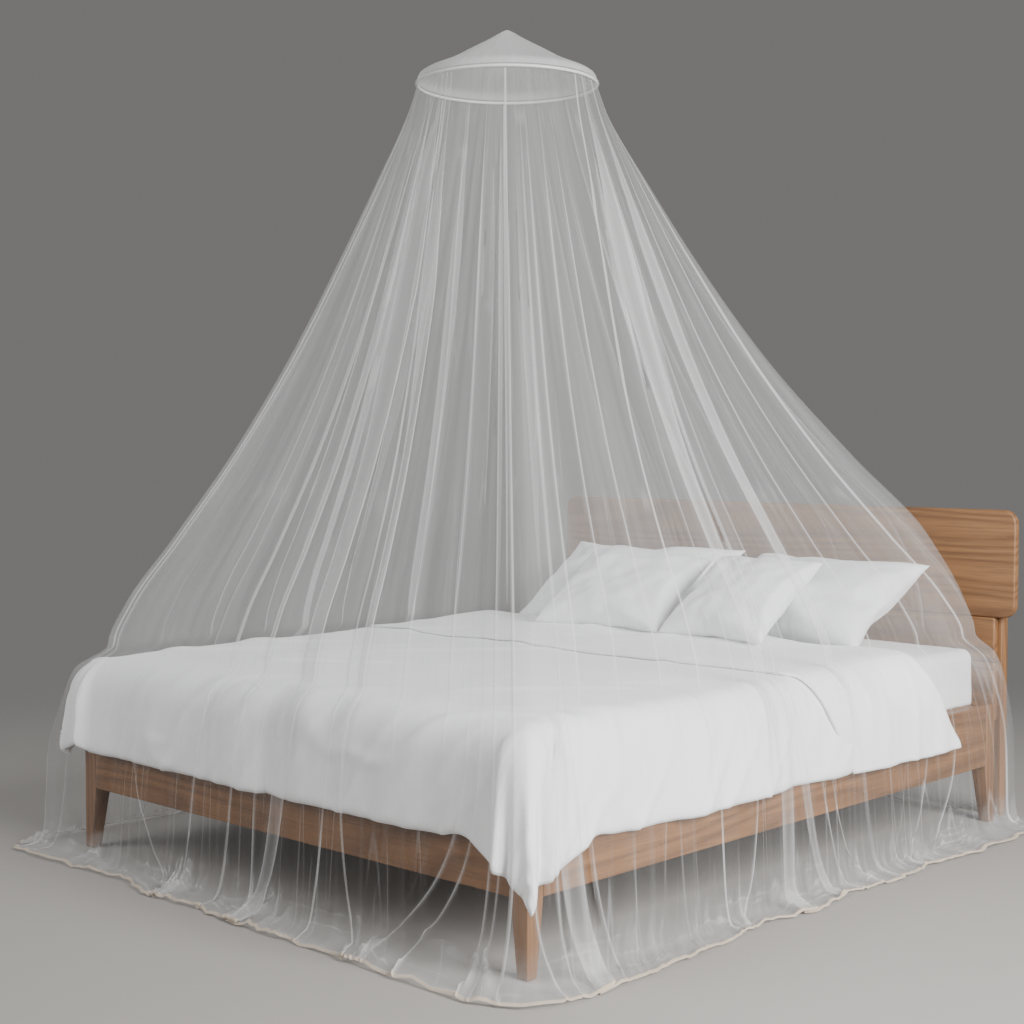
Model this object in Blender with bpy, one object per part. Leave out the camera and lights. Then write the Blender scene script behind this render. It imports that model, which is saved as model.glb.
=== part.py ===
"""A mosquito net canopy that hangs from its apex over a double bed.

Eight panels of sheer net are sewn below a round crown, with a hoop in a casing
between them. The net spreads from the hoop, falls over the edges of the bed and
lies on the floor. The bed is plain: a wooden frame on tapered legs, a mattress, a
duvet turned back at the head, four pillows and a headboard on two posts.

Lengths are metres. X runs across the bed, +Y to its head, Z up, and heights here
are above the floor. The empty "bed_floor" puts the apex of the crown, which hangs
from the ceiling, at the world's origin. Bearings are degrees round the hoop's
axis from the bed's nearest corner, at the foot end of its +X side, and grow
towards the head end of that side.
"""

import math
from collections import namedtuple

import bmesh
import bpy
from mathutils import Matrix, Vector

GAP = 0.0003  # between pieces that touch
TURN = 2 * math.pi

# Hanging: the apex, the hoop and its casing
APEX_HEIGHT = 2.373
HOOP_X, HOOP_Y = -0.128, -0.070
HOOP_HEIGHT = 2.213
RIM_RADIUS = 0.264  # hoop's axis to the middle of its rod
ROD_RADIUS = 0.004
CASING_RADIUS = 0.007
CASING_SLOT = math.radians(70)  # open towards the hoop's axis
NEAR_BEARING = math.radians(-46.26)  # of the nearest corner, from +X

# Bed
FRAME_WIDTH, FRAME_LENGTH = 1.74, 2.10
RAIL_BOTTOM, RAIL_TOP = 0.176, 0.361
RAIL_THICKNESS = 0.028
LEG_TOP, LEG_FOOT = 0.052, 0.032
BASE_THICKNESS = 0.018
MATTRESS_WIDTH, MATTRESS_LENGTH = 1.60, 2.00
MATTRESS_TOP = 0.533
MATTRESS_ROUND = 0.035
MATTRESS_X, MATTRESS_Y = 0.020, 0.020  # it lies towards the near side and the head
HEADBOARD_FRONT = 1.0789
HEADBOARD_THICKNESS = 0.028
HEADBOARD_ROUND = 0.042
POST_WIDTH, POST_DEPTH, POST_TOP, POST_X = 0.055, 0.040, 0.88, 0.862

Board = namedtuple("Board", "name bottom top width")
HEADBOARD_BOARDS = (
    Board("headboard_upper", 0.622, 0.955, 1.830),
    Board("headboard_middle", 0.482, 0.622, 1.700),
    Board("headboard_lower", 0.300, 0.482, 1.700),
)

# Net: one row for each height at which the spread from hoop to bed edge is known.
# spread is the share of the way from the rim to the bed-edge outline, and
# over_pillows is the same where the net lies over the pillows at the head.
Spread = namedtuple("Spread", "height spread over_pillows")
SPREADS = (
    Spread(2.2053, 0.000, 0.000),
    Spread(2.120, 0.032, 0.034),
    Spread(1.940, 0.124, 0.130),
    Spread(1.700, 0.252, 0.268),
    Spread(1.400, 0.424, 0.470),
    Spread(1.120, 0.612, 0.705),
    Spread(0.880, 0.800, 0.915),
    Spread(0.700, 0.945, 0.985),
    Spread(0.585, 1.000, 1.000),
)
# The outlines below that: distances of the four sides from the bed's middle.
Outline = namedtuple("Outline", "height near far foot head near_corner corner")
OUTLINES = (
    Outline(0.585, 0.842, 0.842, 1.014, 1.018, 0.07, 0.06),
    Outline(0.520, 0.8882, 0.894, 1.082, 1.048, 0.05, 0.04),
    Outline(0.440, 0.9122, 0.922, 1.106, 1.062, 0.04, 0.04),
    Outline(0.290, 0.938, 0.968, 1.130, 1.068, 0.05, 0.04),
    Outline(0.140, 0.960, 0.990, 1.156, 1.071, 0.09, 0.05),
    Outline(0.045, 0.980, 1.004, 1.178, 1.073, 0.13, 0.06),
    Outline(0.010, 0.996, 1.014, 1.194, 1.075, 0.16, 0.07),
    Outline(0.006, 1.016, 1.028, 1.212, 1.080, 0.18, 0.08),
)
PILLOW_SIDE = (90.5, 98.5, 166.5, 176.0)  # bearings where over_pillows fades in and out
CORNER_LINES = (-79.6, 3.4, 93.2, 94.7, 96.4, 167.8, 169.4, 171.2, 273.5)  # bearings
CLOTH = 0.001
LAYER_GAP = 0.0048  # between the layers of a pleat
PLEAT_FLANK = 0.45  # width beside a pleat in which its layers rise, in widths of the pleat
SEAM_GAP = 0.0006
PLAIN_STEP = 11.0  # widest bearing without a line of points
FOLD_START, FOLD_FULL = 2.16, 1.75  # heights where folds begin and reach their width

# Seams between the panels: their bearing at the hoop, at the bed's edge and at the hem
Seam = namedtuple("Seam", "hoop edge hem")
SEAMS = (
    Seam(-84.0, -82.0, -82.0),
    Seam(-40.0, -22.6, -24.5),
    Seam(-1.2, 0.6, -0.6),
    Seam(47.0, 27.0, 27.5),
    Seam(92.0, 91.0, 90.0),
    Seam(137.0, 136.0, 136.0),
    Seam(182.0, 180.0, 180.0),
    Seam(228.0, 229.0, 229.0),
)
# Folds between those seams. A pleat is three layers, a crease is a narrow ridge.
# reach is how much further out the hem lies there.
Fold = namedtuple("Fold", "kind hoop edge hem width reach")
FOLDS = (
    Fold("crease", -68.0, -77.0, -78.0, 0.014, 0.000),
    Fold("crease", -60.0, -54.5, -60.0, 0.012, -0.028),
    Fold("pleat", -52.0, -49.0, -53.0, 0.024, 0.012),
    Fold("pleat", -48.5, -39.8, -42.5, 0.022, -0.004),
    Fold("pleat", -43.5, -30.6, -36.0, 0.048, 0.012),
    Fold("pleat", -36.5, -20.4, -21.5, 0.024, 0.010),
    Fold("crease", -24.0, -13.5, -16.0, 0.013, 0.014),
    Fold("crease", -11.5, -7.7, -11.0, 0.012, 0.022),
    Fold("crease", -3.8, -1.7, -4.2, 0.010, 0.026),
    Fold("pleat", 9.0, 7.1, 9.6, 0.030, 0.018),
    Fold("crease", 17.0, 12.6, 13.6, 0.012, 0.020),
    Fold("crease", 24.0, 19.4, 20.5, 0.012, 0.006),
    Fold("crease", 50.5, 34.6, 32.5, 0.014, -0.022),
    Fold("pleat", 54.0, 41.6, 42.0, 0.036, 0.006),
    Fold("crease", 58.0, 49.3, 52.0, 0.012, -0.020),
    Fold("pleat", 66.0, 59.8, 62.0, 0.028, 0.008),
    Fold("crease", 72.0, 71.0, 70.0, 0.012, -0.012),
    Fold("crease", 80.0, 81.0, 79.0, 0.016, 0.020),
    Fold("crease", 101.0, 101.0, 102.0, 0.014, 0.000),
    Fold("crease", 113.0, 112.0, 112.0, 0.014, 0.000),
    Fold("crease", 126.0, 124.0, 124.0, 0.016, 0.000),
    Fold("crease", 148.0, 146.0, 147.0, 0.014, 0.000),
    Fold("crease", 159.0, 157.0, 157.0, 0.012, 0.000),
    Fold("crease", 175.0, 174.0, 174.5, 0.016, 0.000),
    Fold("crease", 194.0, 192.0, 192.0, 0.014, 0.010),
    Fold("pleat", 206.0, 205.0, 207.0, 0.030, -0.012),
    Fold("crease", 217.0, 218.0, 217.0, 0.012, 0.012),
    Fold("pleat", 240.0, 241.0, 242.0, 0.034, -0.010),
    Fold("crease", 251.0, 252.0, 252.0, 0.014, 0.014),
    Fold("crease", 263.0, 264.0, 263.0, 0.012, -0.006),
)

# Crown: radius and depth below the apex, from its point to the casing
Turn = namedtuple("Turn", "radius depth")
CROWN_PROFILE = (
    Turn(0.0, 0.0),
    Turn(0.014, 0.0045),
    Turn(0.050, 0.0270),
    Turn(0.115, 0.0630),
    Turn(0.180, 0.0985),
    Turn(0.222, 0.1165),
    Turn(0.250, 0.1290),
    Turn(0.262, 0.1400),
    Turn(0.264, 0.1525),
)
CROWN_STEPS = 32
RIM_STEPS = 32  # round the hoop and its casing

# Duvet: flat cloth laid over the mattress, then its side as it falls
DUVET_THICKNESS = 0.012
DUVET_LIFT = 0.0004  # above the mattress
DUVET_DROP = 0.330  # cloth beyond the mattress's top edge
DUVET_HEAD = 0.530  # where it is folded back
DUVET_BACK = 0.540  # length of the part folded back
DUVET_SKEW = 0.215  # how much further to the head its hem lies at the sides
DUVET_LAYER_GAP = 0.006
Fall = namedtuple("Fall", "length out near_out down")  # near_out is for its near side
DUVET_FALL = (
    Fall(0.000, 0.000, 0.000, 0.000),
    Fall(0.035, 0.033, 0.021, 0.006),
    Fall(0.070, 0.060, 0.040, 0.026),
    Fall(0.120, 0.080, 0.057, 0.070),
    Fall(0.190, 0.086, 0.064, 0.139),
    Fall(0.330, 0.087, 0.0655, 0.262),
    Fall(0.470, 0.089, 0.0665, 0.372),
)
DUVET_INSET = 0.012  # the fall starts this far inside the mattress's edge
DUVET_NEAR_EDGE = 0.8105  # where it starts on the near side
DUVET_CORNER = 0.26  # how much further out it stands over a corner of the frame
DUVET_GATHERED = 0.26  # share of the cloth taken up in folds at the far corner of the foot

# Pillows: they lie as on a slope, two behind and two in front on the others
PILLOW_SLOPE = math.radians(36)
Pillow = namedtuple("Pillow", "name x width height thickness row")
PILLOWS = (
    Pillow("pillow_back_far", -0.325, 0.740, 0.450, 0.150, "back"),
    Pillow("pillow_back_near", 0.380, 0.640, 0.450, 0.150, "back"),
    Pillow("pillow_front_far", -0.170, 0.500, 0.380, 0.120, "front"),
    Pillow("pillow_front_near", 0.300, 0.400, 0.380, 0.120, "front"),
)
PILLOW_BACK_FRONT_EDGE = 0.545  # y of the back pillows' lower edge
PILLOW_FRONT_FRONT_EDGE = 0.350

WOOD = (0.43, 0.27, 0.16, 1.0)
NET = (0.86, 0.86, 0.85, 1.0)
LINEN = (0.88, 0.88, 0.88, 1.0)
COTTON = (0.80, 0.79, 0.77, 1.0)
STEEL = (0.75, 0.75, 0.74, 1.0)


def clear_scene():
    for thing in list(bpy.data.objects):
        bpy.data.objects.remove(thing)


def material(name, colour, roughness, metallic=0.0):
    made = bpy.data.materials.new(name)
    made.use_nodes = True
    shader = made.node_tree.nodes["Principled BSDF"]
    shader.inputs["Base Color"].default_value = colour
    shader.inputs["Roughness"].default_value = roughness
    shader.inputs["Metallic"].default_value = metallic
    return made


def add_object(name, mesh_builder, finish, smooth=False):
    """One named object of a finished bmesh, carried by the bed's floor point."""
    mesh = bpy.data.meshes.new(name)
    bmesh.ops.recalc_face_normals(mesh_builder, faces=mesh_builder.faces)
    mesh_builder.to_mesh(mesh)
    mesh_builder.free()
    if smooth:
        mesh.shade_smooth()
        mesh.set_sharp_from_angle(angle=math.radians(40))
    thing = bpy.data.objects.new(name, mesh)
    thing.data.materials.append(finish)
    bpy.context.scene.collection.objects.link(thing)
    thing.parent = bpy.data.objects["bed_floor"]
    return thing


def box(low, high):
    made = bmesh.new()
    bmesh.ops.create_cube(made, size=1.0)
    size = Vector(high) - Vector(low)
    bmesh.ops.scale(made, vec=size, verts=made.verts)
    bmesh.ops.translate(made, vec=(Vector(high) + Vector(low)) / 2, verts=made.verts)
    return made


def between(value, low, high):
    """How far value is from low to high, from 0 to 1."""
    return min(1.0, max(0.0, (value - low) / (high - low)))


def eased(share):
    return share * share * (3 - 2 * share)


def read_row(rows, key, value, column):
    """A column of a table of rows, straight between the two rows around value."""
    places = [getattr(row, key) for row in rows]
    rising = places[0] < places[-1]
    for first, second in zip(rows, rows[1:]):
        a, b = getattr(first, key), getattr(second, key)
        if (a <= value <= b) if rising else (b <= value <= a):
            share = (value - a) / (b - a)
            return getattr(first, column) * (1 - share) + getattr(second, column) * share
    nearest = rows[0] if abs(value - places[0]) < abs(value - places[-1]) else rows[-1]
    return getattr(nearest, column)


# ---------------------------------------------------------------- the net's surface


def direction(bearing):
    angle = NEAR_BEARING + math.radians(bearing)
    return Vector((math.cos(angle), math.sin(angle), 0.0))


def outside_by(point, outline):
    """Signed distance of a plan point to an outline with rounded corners."""
    middle_x, half_x = (outline.near - outline.far) / 2, (outline.near + outline.far) / 2
    middle_y, half_y = (outline.head - outline.foot) / 2, (outline.head + outline.foot) / 2
    near = point.x > middle_x and point.y < middle_y
    radius = outline.near_corner if near else outline.corner
    over_x = abs(point.x - middle_x) - (half_x - radius)
    over_y = abs(point.y - middle_y) - (half_y - radius)
    return math.hypot(max(over_x, 0), max(over_y, 0)) + min(max(over_x, over_y), 0) - radius


def outline_reach(bearing, outline):
    """Distance from the hoop's axis to an outline, along a bearing."""
    start, along = Vector((HOOP_X, HOOP_Y, 0)), direction(bearing)
    inside, beyond = 0.0, 3.0
    for _ in range(30):
        middle = (inside + beyond) / 2
        if outside_by(start + along * middle, outline) < 0:
            inside = middle
        else:
            beyond = middle
    return inside


def hem_reach(bearing):
    """How much further out the hem lies at a bearing, eased between the folds."""
    marks = sorted((fold.hem, fold.reach) for fold in FOLDS)
    marks = [(marks[-1][0] - 360, marks[-1][1])] + marks + [(marks[0][0] + 360, marks[0][1])]
    place = (bearing - marks[0][0]) % 360 + marks[0][0]
    for (a, reach_a), (b, reach_b) in zip(marks, marks[1:]):
        if a <= place <= b:
            share = eased((place - a) / (b - a))
            return reach_a * (1 - share) + reach_b * share
    return 0.0


def net_point(bearing, row, uneven=1.0):
    """A point of the net without its folds. row is a Spread or an Outline."""
    if isinstance(row, Spread):
        on_pillows = eased(between(bearing, *PILLOW_SIDE[:2])) * (
            1 - eased(between(bearing, *PILLOW_SIDE[2:]))
        )
        share = row.spread * (1 - on_pillows) + row.over_pillows * on_pillows
        edge = outline_reach(bearing, OUTLINES[0])
        reach = RIM_RADIUS + (edge - RIM_RADIUS) * share
    else:
        reach = outline_reach(bearing, row)
        if row in OUTLINES[-2:]:
            reach += uneven * hem_reach(bearing) * (1.0 if row is OUTLINES[-1] else 0.5)
    spot = Vector((HOOP_X, HOOP_Y, row.height)) + direction(bearing) * reach
    return spot


def bearing_at(line, height):
    """Where a seam or fold line runs at a height: quick to turn below the hoop."""
    edge_height = OUTLINES[0].height
    if height >= edge_height:
        left = between(height, edge_height, HOOP_HEIGHT)
        return line.edge + (line.hoop - line.edge) * left**2.4
    left = between(height, 0.0, edge_height)
    return line.hem + (line.edge - line.hem) * eased(left)


def fold_growth(height):
    """Share of its full width that a fold has at a height."""
    return 0.22 + 0.78 * eased(between(height, FOLD_START, FOLD_FULL))


def half_width(line, height):
    """Half the width of a fold at a height, and none for a seam or a plain line."""
    return line.width * fold_growth(height) / 2 if isinstance(line, Fold) else 0.0


def fold_stations(fold, height):
    """(sideways, outward) steps of a fold's line of points, at a height."""
    grown = fold_growth(height)
    half = half_width(fold, height)
    lying = 0.55 if height < OUTLINES[-3].height else 1.0
    if fold.kind == "crease":
        return ((-half, 0.0), (0.0, fold.width * 0.62 * grown * lying), (half, 0.0))
    gap = LAYER_GAP * max(grown, 0.62) * (0.8 if lying < 1 else 1.0)
    over = ((-half, 0.8 * gap), (half, gap), (half, 0.0))
    return over + tuple((-step, -rise) for step, rise in over[::-1])


def panel_lines(first, last):
    """The seams, folds and corner lines across a panel, in order of their bearings."""
    corners = [Seam(b, b, b) for b in CORNER_LINES if first.edge < b < last.edge]
    inside = [f for f in FOLDS if first.edge < f.edge < last.edge]
    return [first] + sorted(inside + corners, key=lambda line: line.edge) + [last]


def plain_shares(here, after, height, reach):
    """Where lines without a fold run between two lines, as shares of the way."""
    way = math.radians(bearing_at(after, height) - bearing_at(here, height)) * reach
    left, right = half_width(here, height), half_width(after, height)
    free = way - left - right
    shares, ends = [], []
    for line, half, side in ((here, left, 0), (after, right, 1)):
        flank = min(PLEAT_FLANK * 2 * half, 0.48 * free)
        is_pleat = getattr(line, "kind", "") == "pleat"
        ends.append((half + flank if is_pleat else half) / way)
        if is_pleat:
            shares.append(ends[-1] if side == 0 else 1 - ends[-1])
    pieces = max(1, math.ceil((after.edge - here.edge) / PLAIN_STEP))
    inner = 1 - ends[0] - ends[1]
    shares += [ends[0] + inner * k / pieces for k in range(1, pieces)]
    return sorted(shares)


def sideways(bearing, row):
    """Unit vectors along the net's outline and out of its surface."""
    before, beyond = (net_point(bearing + step, row, 0.0) for step in (-0.6, 0.6))
    along = (beyond - before).normalized()
    rows = SPREADS[:-1] + OUTLINES
    at = rows.index(row)
    upper, lower = rows[max(0, at - 1)], rows[min(len(rows) - 1, at + 1)]
    down = (net_point(bearing, lower) - net_point(bearing, upper)).normalized()
    outward = down.cross(along)
    if at == 0:  # level under the hoop, where the net is sewn to the casing
        outward.z = 0.0
    return along, outward.normalized()


def line_points(line, row):
    """A line's points in one row: several for a fold, else one."""
    bearing = bearing_at(line, row.height)
    spot = net_point(bearing, row)
    if isinstance(line, Seam):
        return [spot]
    along, outward = sideways(bearing, row)
    return [
        spot + along * step + outward * rise for step, rise in fold_stations(line, row.height)
    ]


def panel_row(lines, row):
    """The points of one row across a panel."""
    points = []
    for here, after in zip(lines, lines[1:]):
        points += line_points(here, row)
        a, b = bearing_at(here, row.height), bearing_at(after, row.height)
        reach = (net_point((a + b) / 2, row) - Vector((HOOP_X, HOOP_Y, row.height))).length
        for share in plain_shares(here, after, row.height, reach):
            points.append(net_point(a + (b - a) * share, row))
    points += line_points(lines[-1], row)
    for end, way in ((0, 1), (-1, -1)):
        along, _ = sideways(bearing_at(lines[end], row.height), row)
        points[end] = points[end] + along * (way * SEAM_GAP / 2)
    return points


def add_skirt_panel(number, first, last, finish):
    lines = panel_lines(first, last)
    rows = SPREADS[:-1] + OUTLINES
    made = bmesh.new()
    grid = [[made.verts.new(point) for point in panel_row(lines, row)] for row in rows]
    for upper, lower in zip(grid, grid[1:]):
        for k in range(len(upper) - 1):
            made.faces.new((upper[k], lower[k], lower[k + 1], upper[k + 1]))
    panel = add_object(f"skirt_panel_{number}", made, finish, smooth=True)
    thick = panel.modifiers.new("cloth", "SOLIDIFY")
    thick.thickness = CLOTH
    thick.offset = 0.0
    thick.use_even_offset = True
    return panel


# ---------------------------------------------------------------- crown, hoop, casing


def spun(profile, steps, closed=True):
    """A closed outline in (radius, height), turned round the hoop's axis."""
    made = bmesh.new()
    corners = [made.verts.new((r, 0.0, z)) for r, z in profile]
    edges = [made.edges.new(pair) for pair in zip(corners, corners[1:])]
    if closed:
        edges.append(made.edges.new((corners[-1], corners[0])))
    bmesh.ops.spin(
        made,
        geom=corners + edges,
        cent=(0, 0, 0),
        axis=(0, 0, 1),
        angle=TURN,
        steps=steps,
        use_merge=True,
    )
    bmesh.ops.remove_doubles(made, verts=made.verts, dist=1e-5)
    bmesh.ops.translate(made, vec=(HOOP_X, HOOP_Y, 0), verts=made.verts)
    return made


def add_crown(finish):
    outer = [(turn.radius, APEX_HEIGHT - turn.depth) for turn in CROWN_PROFILE]
    inner = [(max(r - CLOTH, 0.0), z - CLOTH * 1.1) for r, z in outer[:-2]]
    inner += [(r - CLOTH, z) for r, z in outer[-2:]]
    made = spun(outer + inner[::-1], CROWN_STEPS, closed=False)
    return add_object("crown", made, finish, smooth=True)


def add_hoop(finish):
    profile = [
        (RIM_RADIUS + ROD_RADIUS * math.cos(a), HOOP_HEIGHT + ROD_RADIUS * math.sin(a))
        for a in (TURN * k / 8 for k in range(8))
    ]
    return add_object("hoop", spun(profile, RIM_STEPS), finish, smooth=True)


def add_casing(finish):
    wall = (ROD_RADIUS + GAP + 0.0002, CASING_RADIUS)
    start, stop = math.pi + CASING_SLOT / 2, TURN + math.pi - CASING_SLOT / 2
    turns = [start + (stop - start) * k / 7 for k in range(8)]

    def arc(radius, order):
        return [
            (RIM_RADIUS + radius * math.cos(a), HOOP_HEIGHT + radius * math.sin(a))
            for a in order
        ]

    profile = arc(wall[1], turns) + arc(wall[0], turns[::-1])
    return add_object("hoop_casing", spun(profile, RIM_STEPS), finish, smooth=True)


# ---------------------------------------------------------------- bed


def add_frame(finish):
    half_x, half_y = FRAME_WIDTH / 2, FRAME_LENGTH / 2
    for side, x in (("near", 1), ("far", -1)):
        inner = half_x - RAIL_THICKNESS
        low_x, high_x = sorted((x * inner, x * half_x))
        reach = half_y - LEG_TOP - GAP
        rail = box((low_x, -reach, RAIL_BOTTOM), (high_x, reach, RAIL_TOP))
        add_object(f"rail_{side}", rail, finish)
        for end, y in (("foot", -1), ("head", 1)):
            add_leg(f"leg_{side}_{end}", x, y, finish)
    for end, y in (("foot", -1), ("head", 1)):
        low_y, high_y = sorted((y * (half_y - RAIL_THICKNESS), y * half_y))
        reach = half_x - LEG_TOP - GAP
        rail = box((-reach, low_y, RAIL_BOTTOM), (reach, high_y, RAIL_TOP))
        add_object(f"rail_{end}", rail, finish)


def add_leg(name, x, y, finish):
    """A corner post whose two inner sides taper below the rails."""
    half_x, half_y = FRAME_WIDTH / 2, FRAME_LENGTH / 2
    low = (half_x - LEG_TOP, half_y - LEG_TOP, RAIL_BOTTOM)
    leg = box(low, (half_x, half_y, RAIL_TOP))
    under = [f for f in leg.faces if f.normal.z < -0.5]
    moved = bmesh.ops.extrude_face_region(leg, geom=under)
    foot = [v for v in moved["geom"] if isinstance(v, bmesh.types.BMVert)]
    bmesh.ops.delete(leg, geom=under, context="FACES")
    for corner in foot:
        corner.co.z = 0.0
        corner.co.x = half_x if corner.co.x > half_x - 0.01 else half_x - LEG_FOOT
        corner.co.y = half_y if corner.co.y > half_y - 0.01 else half_y - LEG_FOOT
    bmesh.ops.scale(leg, vec=(x, y, 1), verts=leg.verts)
    add_object(name, leg, finish)


def add_base_and_mattress(wood, cotton):
    half_x = FRAME_WIDTH / 2 - RAIL_THICKNESS - GAP
    half_y = FRAME_LENGTH / 2 - RAIL_THICKNESS - GAP
    base = box((-half_x, -half_y, RAIL_TOP - BASE_THICKNESS), (half_x, half_y, RAIL_TOP))
    notch_corners(base, half_x, half_y)
    add_object("slatted_base", base, wood)
    half_x, half_y = MATTRESS_WIDTH / 2, MATTRESS_LENGTH / 2
    mattress = box(
        (MATTRESS_X - half_x, MATTRESS_Y - half_y, RAIL_TOP + GAP),
        (MATTRESS_X + half_x, MATTRESS_Y + half_y, MATTRESS_TOP),
    )
    bmesh.ops.bevel(
        mattress,
        geom=[e for e in mattress.edges if max(v.co.z for v in e.verts) > RAIL_TOP + 0.01],
        offset=MATTRESS_ROUND,
        segments=3,
        profile=0.5,
        affect="EDGES",
        material=-1,
    )
    add_object("mattress", mattress, cotton, smooth=True)


def notch_corners(base, half_x, half_y):
    """Chamfer the base's corners so that they clear the four corner posts."""
    cut = 2 * (LEG_TOP - RAIL_THICKNESS) + 0.004
    upright = [e for e in base.edges if abs(e.verts[0].co.z - e.verts[1].co.z) > 1e-4]
    bmesh.ops.bevel(
        base, geom=upright, offset=cut, segments=1, profile=0.5, affect="EDGES", material=-1
    )


def add_headboard(finish):
    back = HEADBOARD_FRONT + HEADBOARD_THICKNESS
    for board in HEADBOARD_BOARDS:
        half = board.width / 2
        panel = box(
            (-half, HEADBOARD_FRONT, board.bottom + GAP / 2),
            (half, back, board.top - GAP / 2),
        )
        if board.width == max(b.width for b in HEADBOARD_BOARDS):
            corners = [e for e in panel.edges if abs(e.verts[0].co.y - e.verts[1].co.y) > 1e-3]
            bmesh.ops.bevel(
                panel,
                geom=corners,
                offset=HEADBOARD_ROUND,
                segments=6,
                profile=0.5,
                affect="EDGES",
                material=-1,
            )
        add_object(board.name, panel, finish)
    for side, x in (("near", 1), ("far", -1)):
        low_x, high_x = sorted((x * POST_X, x * (POST_X - POST_WIDTH)))
        low = (low_x, back + GAP, 0.0)
        add_object(f"headboard_post_{side}", box(low, (high_x, back + POST_DEPTH, POST_TOP)), finish)


# ---------------------------------------------------------------- bedding


def fallen(over, near):
    """(out, down) of the duvet's underside for a length of cloth past the top edge,
    near being 1 where it falls over the near side and 0 elsewhere."""
    out = read_row(DUVET_FALL, "length", over, "out")
    near_out = read_row(DUVET_FALL, "length", over, "near_out")
    return out + (near_out - out) * near, read_row(DUVET_FALL, "length", over, "down")


def duvet_edge(across):
    """Distance from the bed's middle line at which the duvet starts to fall."""
    return DUVET_NEAR_EDGE if across > 0 else MATTRESS_WIDTH / 2 - DUVET_INSET


def duvet_point(across, along, lift):
    """Place a point of the flat duvet on the bed, lift metres above its underside."""
    edge_x = duvet_edge(across)
    edge_y = MATTRESS_LENGTH / 2 - DUVET_INSET
    top = MATTRESS_TOP + DUVET_LIFT
    over_x, over_y = max(abs(across) - edge_x, 0.0), max(-along - edge_y, 0.0)
    over = math.hypot(over_x, over_y)
    base = Vector((max(-edge_x, min(edge_x, across)), max(-edge_y, along), top))
    if over == 0:
        return base + Vector((0, 0, lift))
    away = Vector((math.copysign(over_x, across), -over_y, 0)) / over
    at_corner = 2 * over_x * over_y / over**2
    if across < 0:
        over *= 1 - DUVET_GATHERED * at_corner
    near = away.x**2 if across > 0 else 0.0
    out, down = fallen(over, near)
    out_a, down_a = fallen(max(over - 0.01, 0), near)
    out_b, down_b = fallen(over + 0.01, near)
    lean = Vector((down_b - down_a, 0, out_b - out_a)).normalized()
    out *= 1 + DUVET_CORNER * at_corner
    return base + away * (out + lift * lean.x) + Vector((0, 0, lift * lean.z - down))


def duvet_rows():
    """(along, lift) of each row of the duvet's underside, from the foot to the end
    of the part folded back, which lies upside down on the rest."""
    edge = MATTRESS_LENGTH / 2 - DUVET_INSET
    flat = [fall.length for fall in DUVET_FALL if fall.length <= DUVET_DROP]
    rows = [(-edge - over, 0.0) for over in flat[::-1]]
    rows += [(-edge + (edge + DUVET_HEAD) * share, 0.0) for share in (0.2, 0.4, 0.58, 0.75, 0.9)]
    turn = DUVET_THICKNESS + DUVET_LAYER_GAP / 2
    for k in range(5):
        angle = math.pi * k / 4
        rows.append((DUVET_HEAD + turn * math.sin(angle), turn * (1 - math.cos(angle))))
    rows += [(DUVET_HEAD - DUVET_BACK * share, 2 * turn) for share in (0.25, 0.5, 0.75, 1.0)]
    return rows


def duvet_columns():
    flat = [fall.length for fall in DUVET_FALL if fall.length <= DUVET_DROP]
    far, near = ([duvet_edge(side) + over for over in flat] for side in (-1, 1))
    middle = [share * duvet_edge(share) for share in (-0.66, -0.33, 0.0, 0.33, 0.66)]
    return [-x for x in far[::-1]] + middle + near


def add_duvet(finish):
    """The duvet's underside as one sheet, thickened on its upper side."""
    made = bmesh.new()
    rows, columns = duvet_rows(), duvet_columns()
    folded = [k for k, (_, lift) in enumerate(rows) if lift > 0]
    grid = []
    for k, (along, lift) in enumerate(rows):
        line = []
        for across in columns:
            skew = DUVET_SKEW * max(abs(across) - duvet_edge(across), 0.0) / DUVET_DROP
            shift = skew if k in folded or along > DUVET_HEAD - 0.3 else 0.0
            line.append(made.verts.new(duvet_point(across, along + shift, lift)))
        grid.append(line)
    for near, far in zip(grid, grid[1:]):
        for k in range(len(columns) - 1):
            made.faces.new((near[k], near[k + 1], far[k + 1], far[k]))
    duvet = add_object("duvet", made, finish, smooth=True)
    thick = duvet.modifiers.new("filling", "SOLIDIFY")
    thick.thickness = DUVET_THICKNESS
    thick.offset = 1.0
    thick.use_even_offset = True
    return duvet


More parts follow.
